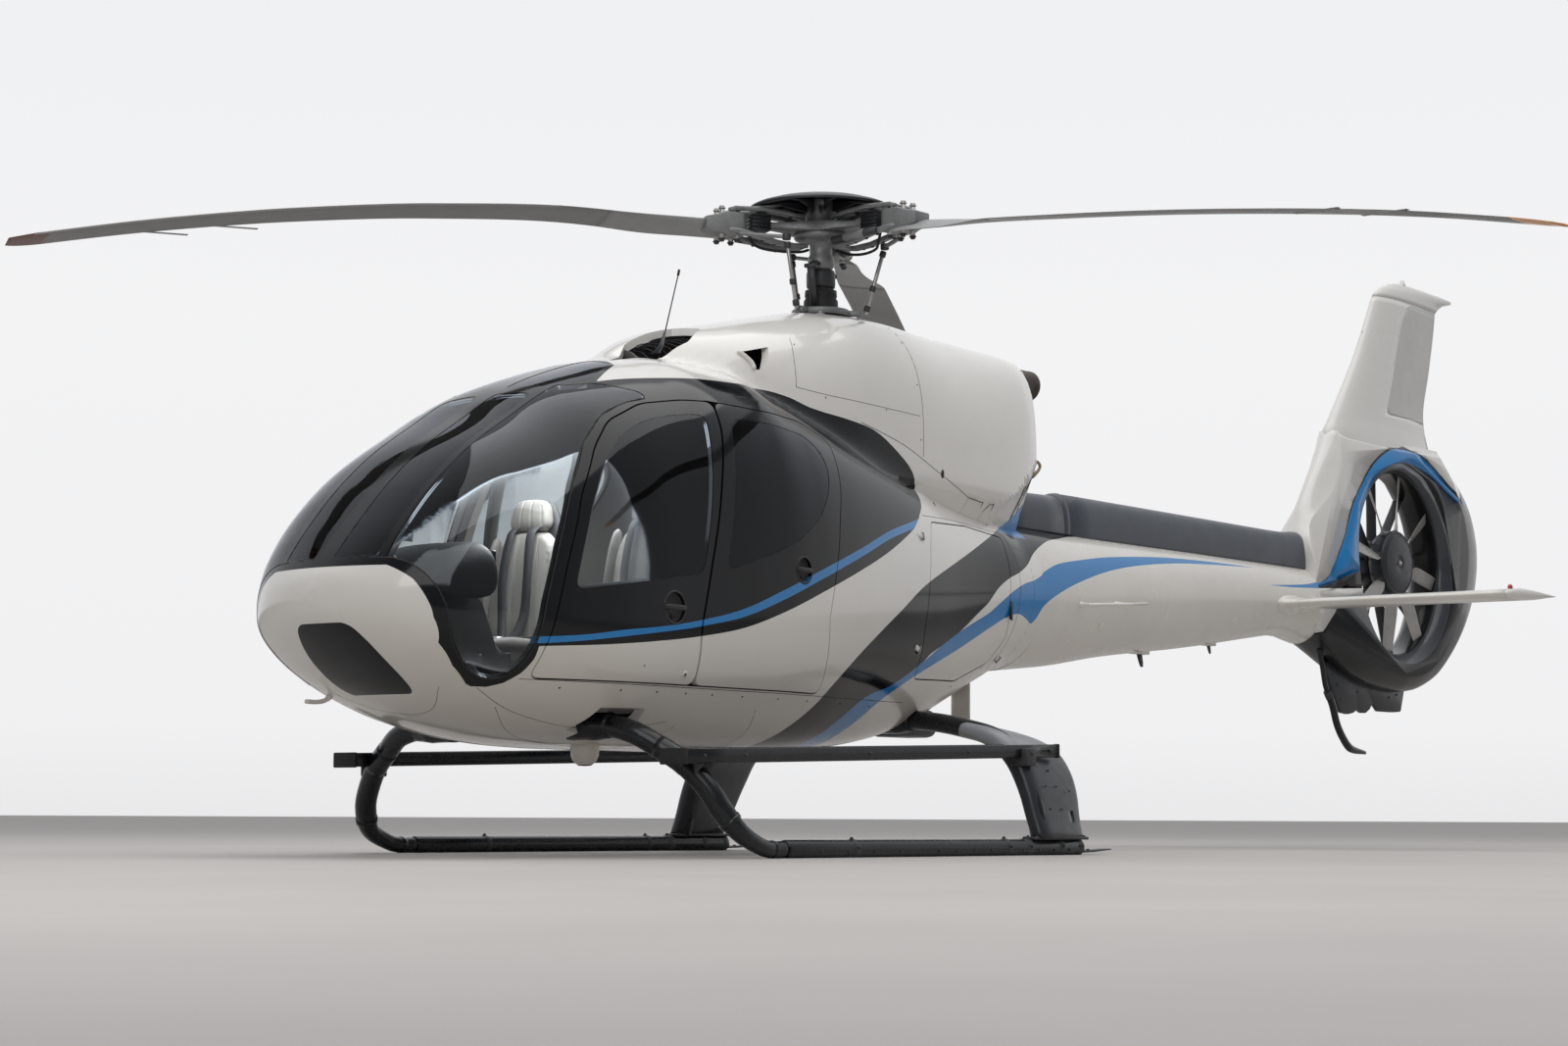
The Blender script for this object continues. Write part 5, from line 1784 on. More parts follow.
def pad_face(name, centre, right, up, out, half_w, half_h, thick, crown, channels=5, depth=0.008, taper=0.0, mat=LEATHER, rows=40, cols=44, round_=3.2, lean=0.0):
    """A stuffed panel: crowned front with sewn channels, sides that pull in at the piping, flat back."""
    c, r, u, o = Vector(centre), Vector(right), Vector(up), Vector(out)
    verts, faces = [], []
    grid = {}
    for side_ in (0, 1):
        for i in range(rows + 1):
            for j in range(cols + 1):
                a, b = -1 + 2 * j / cols, -1 + 2 * i / rows
                # square-ish rounding of the outline
                m = max(abs(a), abs(b))
                q = (abs(a) ** round_ + abs(b) ** round_) ** (1 / round_)
                k = m / q if q > 1e-9 else 1.0
                x, y = a * k, b * k
                edge = 1 - m
                hw = half_w * (1 - taper * (y + 1) / 2)
                if side_ == 0:
                    puff = crown * (1 - abs(x) ** 2.4) * (1 - abs(y) ** 2.8) ** 0.8
                    roll = thick * (1 - (1 - min(edge / 0.10, 1)) ** 2.2)
                    ch = 0.0
                    if channels and abs(x) < 0.80 and abs(y) < 0.92:
                        f = (x + 0.80) / 1.60 * channels
                        ch = -depth * (1 - min(abs(f - round(f)) / 0.16, 1)) ** 1.5
                    z = roll + puff + ch
                else:
                    z = -0.001
                if side_ == 1 and m == 1:
                    grid[(1, i, j)] = grid[(0, i, j)]
                    continue
                grid[(side_, i, j)] = len(verts)
                verts.append(c + r * (x * hw) + u * (y * half_h) + o * z)
    for side_ in (0, 1):
        for i in range(rows):
            for j in range(cols):
                q = [grid[(side_, i, j)], grid[(side_, i, j + 1)], grid[(side_, i + 1, j + 1)], grid[(side_, i + 1, j)]]
                faces.append(q if side_ == 0 else q[::-1])
    ob = mesh_object(name, verts, faces)
    return paint(ob, mat, 180)


def stitched_line(points, r=0.0014, gap=0.009, n=None):
    """Short raised stitches along a line."""
    P = smooth_path(points, 200)
    d = [0.0]
    for a, b in zip(P, P[1:]):
        d.append(d[-1] + (b - a).length)
    out = []
    q = 0.0
    arr = np.array([tuple(p) for p in P])
    while q + gap * 0.6 < d[-1]:
        a = Vector([np.interp(q, d, arr[:, k]) for k in range(3)])
        b = Vector([np.interp(q + gap * 0.6, d, arr[:, k]) for k in range(3)])
        out.append(rod("st", a, b, r, 5))
        q += gap
    return out


def front_seat(s, tag):
    """High-backed shell seat with a channelled centre, side bolsters and a shaped head."""
    y = s * 0.340
    parts = []
    # moulded pedestal and pan
    ped = loft("ped", [[(x, y + k * w, z) for x, z, w in ()] for k in ()]) if False else rounded(box("ped", (1.62, y - 0.150, FLOOR_Z + 0.001), (1.94, y + 0.150, 0.700)), 0.02, 3)
    pan = cushion("pan", [[(2.010 - e, y + a * (0.208 - e * 0.5), z) for a, z in ((-1, 0.700 + f), (1, 0.700 + f), (1, 0.790 - f), (-1, 0.790 - f))] for e, f in ((0.0, 0.015), (0.01, 0.0), (0.30, 0.0), (0.44, 0.0), (0.46, 0.015))], PLASTIC, 2)
    shell_ = []
    for x, z, w, t in ((1.560, 0.780, 0.190, 0.035), (1.540, 0.860, 0.205, 0.040), (1.525, 1.000, 0.208, 0.042), (1.510, 1.150, 0.198, 0.042), (1.500, 1.280, 0.172, 0.040), (1.492, 1.380, 0.128, 0.036), (1.487, 1.450, 0.098, 0.030), (1.486, 1.480, 0.060, 0.020)):
        ring_ = []
        for k in range(20):
            a = 2 * math.pi * k / 20
            ring_.append((x + t * math.sin(a) * (1.0 if math.sin(a) > 0 else 0.8), y + w * math.copysign(abs(math.cos(a)) ** 0.6, math.cos(a)), z))
        shell_.append(ring_)
    sh = cushion("shell", shell_, PLASTIC, 1)
    parts += [paint(ped, PLASTIC, 30), pan, sh]
    stand = join("front_seat_frame_" + tag, parts)
    place(stand, "airframe")
    pads = []
    tilt = math.radians(7)
    up, out = Vector((-math.sin(tilt), 0, math.cos(tilt))), Vector((math.cos(tilt), 0, math.sin(tilt)))
    base = pad_face("base", (1.800, y, 0.785), (0, 1, 0), Vector((1, 0, 0.05)).normalized(), (0, 0, 1), 0.200, 0.205, 0.050, 0.022, 5, 0.007, 0.0)
    back = pad_face("back", (1.560, y, 1.090), (0, -1, 0), up, out, 0.195, 0.260, 0.040, 0.026, 5, 0.008, 0.12)
    head = pad_face("head", (1.522, y, 1.408), (0, -1, 0), up, out, 0.118, 0.072, 0.036, 0.020, 3, 0.004, 0.25)
    bol = []
    for k in (1, -1):
        rows = []
        for z, x, w in ((0.880, 1.612, 0.020), (0.94, 1.612, 0.030), (1.10, 1.594, 0.034), (1.25, 1.570, 0.030), (1.335, 1.552, 0.018)):
            rows.append([(x + w * math.cos(a) * 1.2, y + k * (0.192 - 0.020 * (z - 0.9)) + w * 0.8 * math.sin(a), z) for a in np.linspace(0, 2 * math.pi, 14, endpoint=False)])
        bol.append(cushion("bol", rows, LEATHER_DARK, 1))
        rows = []
        for x, z, w in ((1.640, 0.840, 0.022), (1.72, 0.852, 0.030), (1.86, 0.856, 0.030), (1.97, 0.850, 0.024), (1.995, 0.842, 0.014)):
            rows.append([(x, y + k * 0.192 + w * 0.8 * math.cos(a), z + w * math.sin(a)) for a in np.linspace(0, 2 * math.pi, 14, endpoint=False)])
        bol.append(cushion("bol", rows, LEATHER_DARK, 1))
    st = []
    for j in range(1, 5):
        f = -0.80 + 1.60 * j / 5
        for e in (-0.006, 0.006):
            st += stitched_line([Vector((1.560, y, 1.090)) + Vector((0, -1, 0)) * (f * 0.195 * (1 - 0.12 * (v + 1) / 2) + e) + up * (v * 0.260)
                                 + out * (0.040 + 0.026 * (1 - abs(f) ** 2.4) * (1 - abs(v) ** 2.8) ** 0.8 - 0.001) for v in (-0.85, -0.5, 0, 0.5, 0.85)])
            st += stitched_line([Vector((1.800, y + f * 0.200 + e, 0.785)) + Vector((1, 0, 0.05)).normalized() * (v * 0.205)
                                 + Vector((0, 0, 0.050 + 0.022 * (1 - abs(f) ** 2.4) * (1 - abs(v) ** 2.8) ** 0.8 - 0.001)) for v in (-0.85, -0.5, 0, 0.5, 0.85)])
    seat = join("front_seat_%s_pads" % tag, [base, back, head] + bol + [paint(o, THREAD, 60) for o in st])
    place(seat, "airframe", ["front_seat_" + tag])
    # harness: two shoulder straps and a lap belt with a buckle
    belts = []
    for k in (1, -1):
        pts = smooth_path([(1.560, y + k * 0.060, 1.372), (1.606, y + k * 0.058, 1.330), (1.640, y + k * 0.072, 1.150), (1.652, y + k * 0.062, 0.980), (1.690, y + k * 0.030, 0.885), (1.730, y + k * 0.012, 0.872)], 30)
        belts.append(paint(sweep("belt", pts, [(-0.022, -0.0012), (0.022, -0.0012), (0.022, 0.0012), (-0.022, 0.0012)], None, up=(1, 0, 0)), WEB, 40))
        pts = smooth_path([(1.640, y + k * 0.215, 0.800), (1.660, y + k * 0.205, 0.872), (1.720, y + k * 0.120, 0.880), (1.740, y + k * 0.030, 0.880)], 20)
        belts.append(paint(sweep("belt", pts, [(-0.022, -0.0012), (0.022, -0.0012), (0.022, 0.0012), (-0.022, 0.0012)], None), WEB, 40))
    belts.append(paint(lathe("buckle", [(0, 0.872), (0.030, 0.872), (0.034, 0.877), (0.034, 0.890), (0.028, 0.896), (0, 0.897)], (1.740, y, 0), n=28), STEEL, 30))
    place(join("harness_" + tag, belts), "airframe")


for s, tag in ((1, "port"), (-1, "starboard")):
    front_seat(s, tag)

# rear bench: three places with channelled backs and head pads
parts, st = [], []
frame_ = rounded(box("bf", (0.610, -0.440, FLOOR_Z + 0.001), (1.040, 0.440, 0.790)), 0.02, 3)
back_ = rounded(loft("bb", [[(0.600, y, 0.780), (0.720, y, 0.780), (0.668, y, 1.300), (0.600, y, 1.300)] for y in (-0.440, 0.440)]), 0.02, 3)
place(join("rear_bench_frame", [paint(frame_, PLASTIC, 30), paint(back_, PLASTIC, 30)]), "airframe")
tilt = math.radians(6)
up, out = Vector((-math.sin(tilt), 0, math.cos(tilt))), Vector((math.cos(tilt), 0, math.sin(tilt)))
for yc in (-0.295, 0.0, 0.295):
    parts.append(pad_face("rb", (0.845, yc, 0.785), (0, 1, 0), (1, 0, 0), (0, 0, 1), 0.142, 0.215, 0.050, 0.022, 4, 0.007))
    parts.append(pad_face("rk", (0.705, yc, 1.075), (0, -1, 0), up, out, 0.142, 0.235, 0.036, 0.022, 4, 0.007, 0.06))
    parts.append(pad_face("rh", (0.668, yc, 1.385), (0, -1, 0), up, out, 0.095, 0.070, 0.045, 0.016, 0, 0.0, 0.15))
    parts.append(paint(rounded(box("rhb", (0.612, yc - 0.080, 1.290), (0.668, yc + 0.080, 1.440)), 0.02, 3), PLASTIC, 30))
bench = join("rear_bench_pads", parts)
place(bench, "airframe", ["rear_bench_seat"])

# pedestal, instrument hood, dials, screens, sticks and pedals
con = loft("con", [[(x, -0.120, z), (x, 0.120, z), (x2, 0.110, z2), (x2, -0.110, z2)] for x, z, x2, z2 in ((2.19, 0.601, 2.41, 0.601), (2.20, 0.760, 2.44, 0.760), (2.26, 0.960, 2.56, 0.960), (2.30, 1.020, 2.62, 1.020))]) if False else None
ped = prism_y("ped", [(2.180, 0.601), (2.420, 0.601), (2.470, 0.760), (2.640, 0.930), (2.700, 1.010), (2.690, 1.060), (2.400, 1.075), (2.300, 0.990), (2.210, 0.800)], -0.120, 0.120)
hood = []
for yy, k in ((-0.290, 0.0), (-0.275, 0.6), (-0.22, 0.95), (-0.1, 1.0), (0.1, 1.0), (0.22, 0.95), (0.275, 0.6), (0.290, 0.0)):
    hood.append([(2.370, yy, 0.985 - 0.02 * (1 - k)), (2.385, yy, 1.075 + 0.135 * k), (2.420, yy, 1.090 + 0.135 * k), (2.560, yy, 1.082 + 0.105 * k), (2.700, yy, 1.060 + 0.055 * k), (2.760, yy, 1.020 + 0.02 * k), (2.690, yy, 0.985 - 0.01 * k)])
hd = cushion("hood", hood, PLASTIC, 2)
panel_bits = [paint(rounded(ped, 0.012, 3), PLASTIC, 30), hd]


def dial(y, z, r):
    x = 2.366
    body_ = lathe("d", [(0, 0.0), (r, 0.0), (r, -0.006), (r * 0.86, -0.008), (r * 0.84, -0.005), (0, -0.005)], (x, y, z), "X", 28)
    marks = []
    for k in range(12):
        a = math.radians(k * 30)
        c, d_ = math.cos(a), math.sin(a)
        marks.append(rod("m", (x - 0.0052, y + c * r * 0.62, z + d_ * r * 0.62), (x - 0.0052, y + c * r * 0.78, z + d_ * r * 0.78), 0.0009, 4))
    marks.append(rod("m", (x - 0.0058, y, z), (x - 0.0058, y + r * 0.4, z + r * 0.45), 0.0012, 4))
    return [paint(body_, DIAL, 30)] + [paint(m, DIAL_MARK, 60) for m in marks]


for y in (-0.220, -0.140, -0.060):
    for z in (1.145, 1.062):
        panel_bits += dial(y, z, 0.034)
scr = rounded(box("scr", (2.355, 0.010, 1.030), (2.376, 0.240, 1.180)), 0.005, 2)
panel_bits.append(paint(scr, SCREEN, 30))
for k in range(6):
    panel_bits.append(paint(rounded(box("kn", (2.348, 0.020 + k * 0.036, 1.014), (2.372, 0.040 + k * 0.036, 1.024)), 0.002, 1), PLASTIC, 30))
for k in range(8):
    y = -0.080 + (k % 4) * 0.053
    x = 2.255 if k < 4 else 2.232
    z = 0.900 if k < 4 else 0.850
    panel_bits.append(paint(rod("kb", (x, y, z), (x - 0.022, y, z + 0.010), 0.009, 14), PLASTIC, 30))
comp = lathe("comp", [(0, 0), (0.022, 0.0), (0.030, 0.012), (0.030, 0.040), (0.018, 0.052), (0, 0.055)], (2.700, 0.0, 1.105), "Z", 24)
panel_bits.append(paint(comp, PLASTIC, 30))
place(join("instrument_panel", panel_bits), "airframe", ["instrument_console"])
ctl = []
for s in (1, -1):
    y = s * 0.340
    ctl.append(paint(pipe("cyc", smooth_path([(2.110, y, 0.601), (2.120, y, 0.700), (2.050, y, 0.820), (2.030, y, 0.930), (2.045, y, 1.000)], 24), 0.012, 12), DARK_ALLOY, 40))
    ctl.append(paint(rod("grip", (2.030, y, 0.930), (2.052, y, 1.045), 0.020, 16, 0.4), RUBBER, 40))
    ctl.append(paint(pipe("col", smooth_path([(1.650, y + 0.235, 0.640), (1.800, y + 0.235, 0.680), (1.930, y + 0.235, 0.760), (2.010, y + 0.235, 0.820)], 16), 0.013, 12), DARK_ALLOY, 40))
    ctl.append(paint(rod("colg", (1.935, y + 0.235, 0.763), (2.030, y + 0.235, 0.838), 0.021, 16, 0.3), RUBBER, 40))
    for k in (1, -1):
        ctl.append(paint(pipe("pedal", [(2.480, y + k * 0.075, 0.601), (2.500, y + k * 0.075, 0.700)], 0.009, 10), STEEL, 40))
        ctl.append(paint(rounded(box("pp", (2.488, y + k * 0.075 - 0.035, 0.690), (2.502, y + k * 0.075 + 0.035, 0.770)), 0.004, 2), DARK_ALLOY, 30))
place(join("flight_controls", ctl), "airframe")
# overhead frame members seen through the canopy: a hoop at the door line and the roof spine
hoop = []
for x, inset in ((2.02, 0.034),):
    for t in np.linspace(math.radians(24), math.radians(156), 46):
        p = body_point(np.array([1.93]), np.array([t]), WALL + 0.012)[0]
        hoop.append(Vector(p))
hp = sweep("hoop", hoop, [(-0.030, -0.011), (0.030, -0.011), (0.030, 0.011), (-0.030, 0.011)], None, up=(1, 0, 0))
hoop2 = []
for t in np.linspace(math.radians(16), math.radians(164), 46):
    hoop2.append(Vector(body_point(np.array([1.42]), np.array([t]), WALL + 0.012)[0]))
hp2 = sweep("hoop2", hoop2, [(-0.030, -0.011), (0.030, -0.011), (0.030, 0.011), (-0.030, 0.011)], None, up=(1, 0, 0))
place(join("cabin_hoops", [paint(hp, TRIM, 40), paint(hp2, TRIM, 40)]), "airframe")
# chin lamp, door inner pulls
lamp = [lathe("lamp", [(0.030, 0.0), (0.034, 0.004), (0.036, 0.060), (0.040, 0.066), (0.037, 0.068), (0.033, 0.060), (0.012, 0.012), (0, 0.010)][::-1] + [(0, 0.0)], (0, 0, 0), "X", 32)]
lp = lamp[0]
move(lp, Matrix.Translation((2.640, 0.300, 0.735)) @ Matrix.Rotation(math.radians(-8), 4, "Z"))
place(join("chin_lamp", [paint(lp, REFLECTOR, 30), paint(rod("ls", (2.640, 0.300, 0.735), (2.590, 0.310, 0.690), 0.012, 14), DARK_ALLOY, 30), paint(box("lb", (2.560, 0.270, 0.600), (2.620, 0.340, 0.700), 0.01), PLASTIC, 30)]), "airframe")

# ------------------------------------------------------------------ engine bay pieces that show through the openings
eng = [paint(lathe("e", [(0, -1.120), (0.120, -1.110), (0.150, -1.060), (0.170, -0.900), (0.200, -0.880), (0.200, -0.700), (0.165, -0.680), (0.150, -0.480), (0.120, -0.400), (0, -0.390)], (0, 0, 2.050), "X", 40), CAST, 30)]
for k in range(10):
    a = 2 * math.pi * k / 10
    eng.append(paint(rod("t", (-1.05, 0.165 * math.cos(a), 2.05 + 0.165 * math.sin(a)), (-0.60, 0.185 * math.cos(a), 2.05 + 0.185 * math.sin(a)), 0.010, 10), STEEL, 40))
place(join("engine_core", eng), "airframe", ["engine_block"])
gb = [paint(lathe("g", [(0, 1.965), (0.120, 1.970), (0.150, 1.995), (0.155, 2.100), (0.140, 2.180), (0.110, 2.230), (0.080, 2.285), (0, 2.290)], n=40), CAST, 30)]
for k in range(12):
    a = 2 * math.pi * k / 12
    gb.append(paint(move(rounded(box("r", (0.140, -0.004, 1.990), (0.166, 0.004, 2.150)), 0.001, 1), Matrix.Rotation(a, 4, "Z")), CAST, 30))
place(join("gearbox_core", gb), "airframe", ["main_gearbox"])
duct_bits = []
for s in (1, -1):
    # dark throats under the roof intakes and behind the side scoops
    thr = plan([(1.70, 0.020), (1.70, 0.230), (0.98, 0.250), (0.98, 0.010)], s, 1.905, 1.925)
    duct_bits.append(paint(thr, TRIM, 30))
    for k in range(16):
        x = 1.05 + k * 0.038
        q = [on_plan(x, s * y, True, -0.045)[0] for y in (0.04, 0.10, 0.16, 0.20)]
        duct_bits.append(paint(pipe("gr", q, 0.0016, 6), DARK_ALLOY, 50))
    lipp = [on_side(x, z, s, 0.004)[0] for x, z in ((0.985, 2.120), (0.955, 2.095), (0.935, 2.070), (0.930, 2.042))]
    duct_bits.append(paint(pipe("lipp", smooth_path(lipp, 16), 0.010, 12, [0.5] + [1] * 14 + [0.5]), WHITE, 50))
place(join("intake_throats", duct_bits), "airframe")

# aft face of the cowling, and the exhaust
def ring_at(x, inset):
    p = body_point(np.full(208, COWL_END), ST)
    n = body_normal(np.full(208, COWL_END), ST)
    n[:, 0] = 0
    n /= np.maximum(np.linalg.norm(n, axis=1, keepdims=True), 1e-9)
    q = p - n * inset
    q[:, 0] = x
    return [tuple(v) for v in q]


facep = loft("aft_face", [ring_at(COWL_END + 0.030, 0.032), ring_at(COWL_END + 0.0002, 0.0315), ring_at(COWL_END - 0.0002, 0.0004), ring_at(COWL_END - 0.006, 0.003), ring_at(COWL_END - 0.010, 0.010), ring_at(COWL_END - 0.011, 0.020)])
boolean(facep, box("cutter", (-2, -1, 0), (0, 1, 1.560)), keep=False)
boolean(facep, boom_cutter(-0.004), keep=False)
boolean(facep, lathe("cutter", [(0, -1.9), (0.082, -1.9), (0.082, -1.0), (0, -1.0)], (0, 0, 2.302), "X", 48), keep=False)
place(paint(facep, WHITE, 34), "airframe").name = "cowling_aft_face"
ex = lathe("ex", [(0.074, -1.220), (0.074, -1.560), (0.076, -1.600), (0.0755, -1.668), (0.077, -1.676), (0.0765, -1.690), (0.070, -1.690), (0.0695, -1.670), (0.068, -1.600), (0.067, -1.220)], (0, 0, 2.302), "X", 56)
ex_bits = [paint(ex, HOT, 35)]
ex_bits.append(paint(lathe("exr", [(0.0745, -1.352), (0.0905, -1.352), (0.0905, -1.358), (0.0745, -1.358)], (0, 0, 2.302), "X", 56), DARK_ALLOY, 35))
ex_bits.append(paint(pipe("exd", smooth_path([(-1.335, 0.120, 2.190), (-1.38, 0.122, 2.188), (-1.405, 0.122, 2.170)], 10), 0.014, 14), HOT, 40))
place(join("exhaust", ex_bits), "airframe", ["exhaust_pipe"])
place(paint(pipe("drain_pipe", smooth_path([(-1.325, 0.245, 1.880), (-1.375, 0.262, 1.878), (-1.398, 0.266, 1.856), (-1.350, 0.262, 1.806), (-1.325, 0.250, 1.790)], 24), 0.0075, 12), TANPIPE, 50), "airframe")


# ------------------------------------------------------------------ seams, fasteners and small fittings
def ribbon(pts, normals, w=0.0028, proud=0.0004, depth=0.0022):
    loops = []
    for i, (p, n) in enumerate(zip(pts, normals)):
        a, b = pts[max(i - 1, 0)], pts[min(i + 1, len(pts) - 1)]
        t = (b - a).normalized()
        sd = t.cross(n).normalized()
        loops.append([p + sd * (w / 2) - n * depth, p + sd * (w / 2) + n * proud, p - sd * (w / 2) + n * proud, p - sd * (w / 2) - n * depth])
    return loft("rib", loops)


def side_seam(points, s=1, n=None, w=0.0028, proud=0.0004):
    n = n or max(8, int(sum(math.hypot(a[0] - b[0], a[1] - b[1]) for a, b in zip(points, points[1:])) / 0.035))
    line = flowing(points, n)
    q = [on_side(x, z, s) for x, z in line]
    return ribbon([a for a, _ in q], [b for _, b in q], w, proud)


def plan_seam(points, top=False, n=None, w=0.0028):
    n = n or max(8, int(sum(math.hypot(a[0] - b[0], a[1] - b[1]) for a, b in zip(points, points[1:])) / 0.04))
    q = [on_plan(x, y, top) for x, y in flowing(points, n)]
    return ribbon([a for a, _ in q], [b for _, b in q], w)


seams = []
for s in (1, -1):
    seams.append(side_seam([(2.555, 0.668), (2.2, 0.664), (1.6, 0.662), (0.9, 0.662), (0.3, 0.664), (-0.08, 0.668)], s))
    seams.append(side_seam([(0.643, 2.221), (0.680, 2.120), (0.700, 1.992)], s, w=0.002))
    seams.append(side_seam([(0.700, 1.992), (0.484, 1.977), (0.141, 1.965), (-0.166, 1.957)], s, w=0.002))
    seams.append(side_seam([(COWL_SPLIT_X, 2.380), (COWL_SPLIT_X, 2.10), (COWL_SPLIT_X, 1.775)], s))
    seams.append(side_seam([(0.288, 1.880), (-0.043, 1.810), (-0.282, 1.728), (-0.558, 1.642), (-0.860, 1.566), (-1.000, 1.538)], s))
    seams.append(side_seam([(-1.000, 1.535), (-1.100, 1.548), (-1.180, 1.590), (-1.250, 1.645), (-1.318, 1.715)], s, w=0.004))
    seams.append(side_seam([(-0.100, 1.500), (-0.500, 1.512), (-0.900, 1.500), (-1.000, 1.505)], s, w=0.002))
    seams.append(side_seam([(-1.020, 1.500), (-1.075, 1.40), (-1.085, 1.20), (-1.060, 1.00), (-1.000, 0.830)], s, w=0.003))
    seams.append(side_seam([(-1.180, 1.560), (-1.225, 1.35), (-1.230, 1.15), (-1.205, 0.98), (-1.170, 0.90)], s, w=0.002))
    seams.append(side_seam([(0.800, 0.665), (0.855, 0.980), (0.785, 1.260), (0.755, 1.400), (0.690, 1.560), (0.640, 1.750)], -1, w=0.003)) if s < 0 else None
    seams.append(plan_seam([(2.640, s * 0.42), (2.42, s * 0.40), (2.05, s * 0.45), (1.70, s * 0.55)]))
    seams.append(plan_seam([(1.62, s * 0.52), (1.62, s * 0.30), (1.62, 0.0)]))
    seams.append(plan_seam([(1.20, s * 0.60), (1.10, s * 0.45), (1.04, s * 0.20), (1.02, 0.0)], w=0.002))
    seams.append(plan_seam([(2.50, s * 0.38), (2.20, s * 0.20), (1.80, s * 0.17), (0.60, s * 0.17), (0.0, s * 0.16)], w=0.002))
seams.append(plan_seam([(2.72, -0.30), (2.60, -0.15), (2.56, 0.0), (2.60, 0.15), (2.72, 0.30)], w=0.002))
seams = [q for q in seams if q is not None]
place(join("panel_seams", [paint(q, SEAL, 60) for q in seams]), "airframe")
# dark gaskets round the flush glazing
gask = []
for s in (1, -1):
    pts = [(3.02, 1.112), (2.975, 1.100), (2.932, 1.020), (2.905, 0.940), (2.885, 0.870), (2.848, 0.800), (2.775, 0.728), (2.700, 0.684), (2.640, 0.666), (2.604, 0.680), (2.585, 0.740),
           (2.572, 0.836), (2.550, 0.964), (2.488, 1.172), (2.382, 1.400), (2.245, 1.590), (2.100, 1.708), (1.950, 1.775), (1.815, 1.812)]
    gask.append(side_seam(pts, s, 110, 0.005, 0.0012))
place(join("glazing_gaskets", [paint(q, RUBBER, 60) for q in gask]), "airframe")

fit = []


def stud_side(x, z, s=1, r=0.0045, h=0.002, mat=DARK_ALLOY):
    p, n = on_side(x, z, s)
    o = sweep("sd", [p - n * 0.003, p + n * h * 0.6, p + n * h], circle(r, 10), [1, 1, 0.6])
    return paint(o, mat, 40)


for s in (1, -1):
    for x in (2.38, 2.10, 1.90, 1.72, 1.55, 1.35, 1.10, 0.86, 0.55, 0.25):
        fit.append(stud_side(x, 0.640, s))
    for x, z in ((2.03, 0.735), (0.64, 2.19), (-0.17, 2.30), (-0.17, 2.10), (-0.17, 1.85), (-0.9, 1.53), (-1.05, 1.535), (0.10, 1.955), (0.52, 1.965), (-0.60, 0.76), (-0.90, 0.86)):
        fit.append(stud_side(x, z, s, 0.0035))
    # oval vent, slot and drain ring on the cowling
    p, n = on_side(-0.349, 1.712, s)
    up_ = Vector((0, 0, 1)) - n * n.z
    fit.append(paint(sweep("ov", [p - n * 0.004, p + n * 0.0010], [(a * 0.013, b * 0.020) for a, b in circle(1, 20)], None), RUBBER, 40))
    p, n = on_side(-0.325, 1.576, s)
    fit.append(paint(sweep("sl", [p - n * 0.004, p + n * 0.0010], [(a * 0.005, b * 0.012) for a, b in circle(1, 14)], None), RUBBER, 40))
    p, n = on_side(1.777, 0.712, s)
    fit.append(paint(sweep("rg", [p - n * 0.004, p + n * 0.0020], circle(0.016, 24)), WHITE, 40))
    fit.append(paint(sweep("rg", [p - n * 0.004, p + n * 0.0035], circle(0.006, 14)), DARK_ALLOY, 40))
    # dark louvre aft of the baggage door
    q = [on_side(-0.985 - 0.02 * k, 1.175 - 0.006 * k, s, 0.001) for k in (0, 1)]
    fit.append(paint(loft("lv", [[p + n * 0.002, p - n * 0.006, p - n * 0.006 + Vector((0, 0, -0.085)), p + n * 0.002 + Vector((0, 0, -0.085))] for p, n in q]), RUBBER, 40))
place(join("fasteners", fit), "airframe")


def latch(x, z, s=1):
    p, n = on_side(x, z, s)
    a = box("l", (-0.030, -0.012, -0.004), (0.030, 0.012, 0.007), 0.004)
    b = rod("l2", (-0.012, -0.018, 0.006), (-0.012, 0.018, 0.006), 0.006, 12)
    m = Matrix.Translation(p) @ Vector((0, 0, 1)).rotation_difference(n).to_matrix().to_4x4()
    return [paint(move(a, m), WHITE, 30), paint(move(b, m), CAST, 30)]


place(join("door_latches", latch(-0.030, 1.40) + latch(-1.045, 0.910) + latch(-0.030, 0.90)), "airframe")

ant = []
# whip on the roof
p, n = on_plan(1.275, 0.130, True)
p = Vector((1.262, 0.130, 2.125))
ant.append(paint(sweep("wb", [(1.300, 0.130, 2.085), (1.262, 0.130, 2.128), (1.240, 0.130, 2.190)], [(a * 0.020, b * 0.008) for a, b in circle(1, 16)], [1.4, 0.7, 0.3]), SLATE, 50))
ant.append(paint(pipe("wh", [(1.240, 0.130, 2.185), (1.200, 0.130, 2.310), (1.155, 0.130, 2.450)], 0.0028, 8), DARK_ALLOY, 50))
ant.append(paint(rod("wt", (1.158, 0.130, 2.440), (1.151, 0.130, 2.466), 0.0055, 10), RUBBER, 50))
# towel-rail aerials on either side of the boom
for s in (1, -1):
    deg = -7 if s > 0 else 187
    pa, na = boom_point(-1.700, deg)
    pb, nb = boom_point(-2.060, deg)
    h = 0.055
    for p, n in ((pa, na), (pb, nb)):
        ant.append(paint(sweep("tp", [p - n * 0.003, p + n * 0.006, p + n * h], circle(0.008, 14), [2.2, 1.1, 0.9]), WHITE_TAIL, 50))
    d = (pb - pa).normalized()
    ant.append(paint(rod("tr", pa + na * h - d * 0.02, pb + nb * h + d * 0.23, 0.0085, 14, 0.2), WHITE_TAIL, 40))
    p, n = boom_point(-1.960, -28 if s > 0 else 208)
    pl_ = box("pl", (-0.028, -0.020, -0.002), (0.028, 0.020, 0.006), 0.003)
    ant.append(paint(move(pl_, Matrix.Translation(p) @ Vector((0, 0, 1)).rotation_difference(n).to_matrix().to_4x4()), BOOM_WHITE, 30))
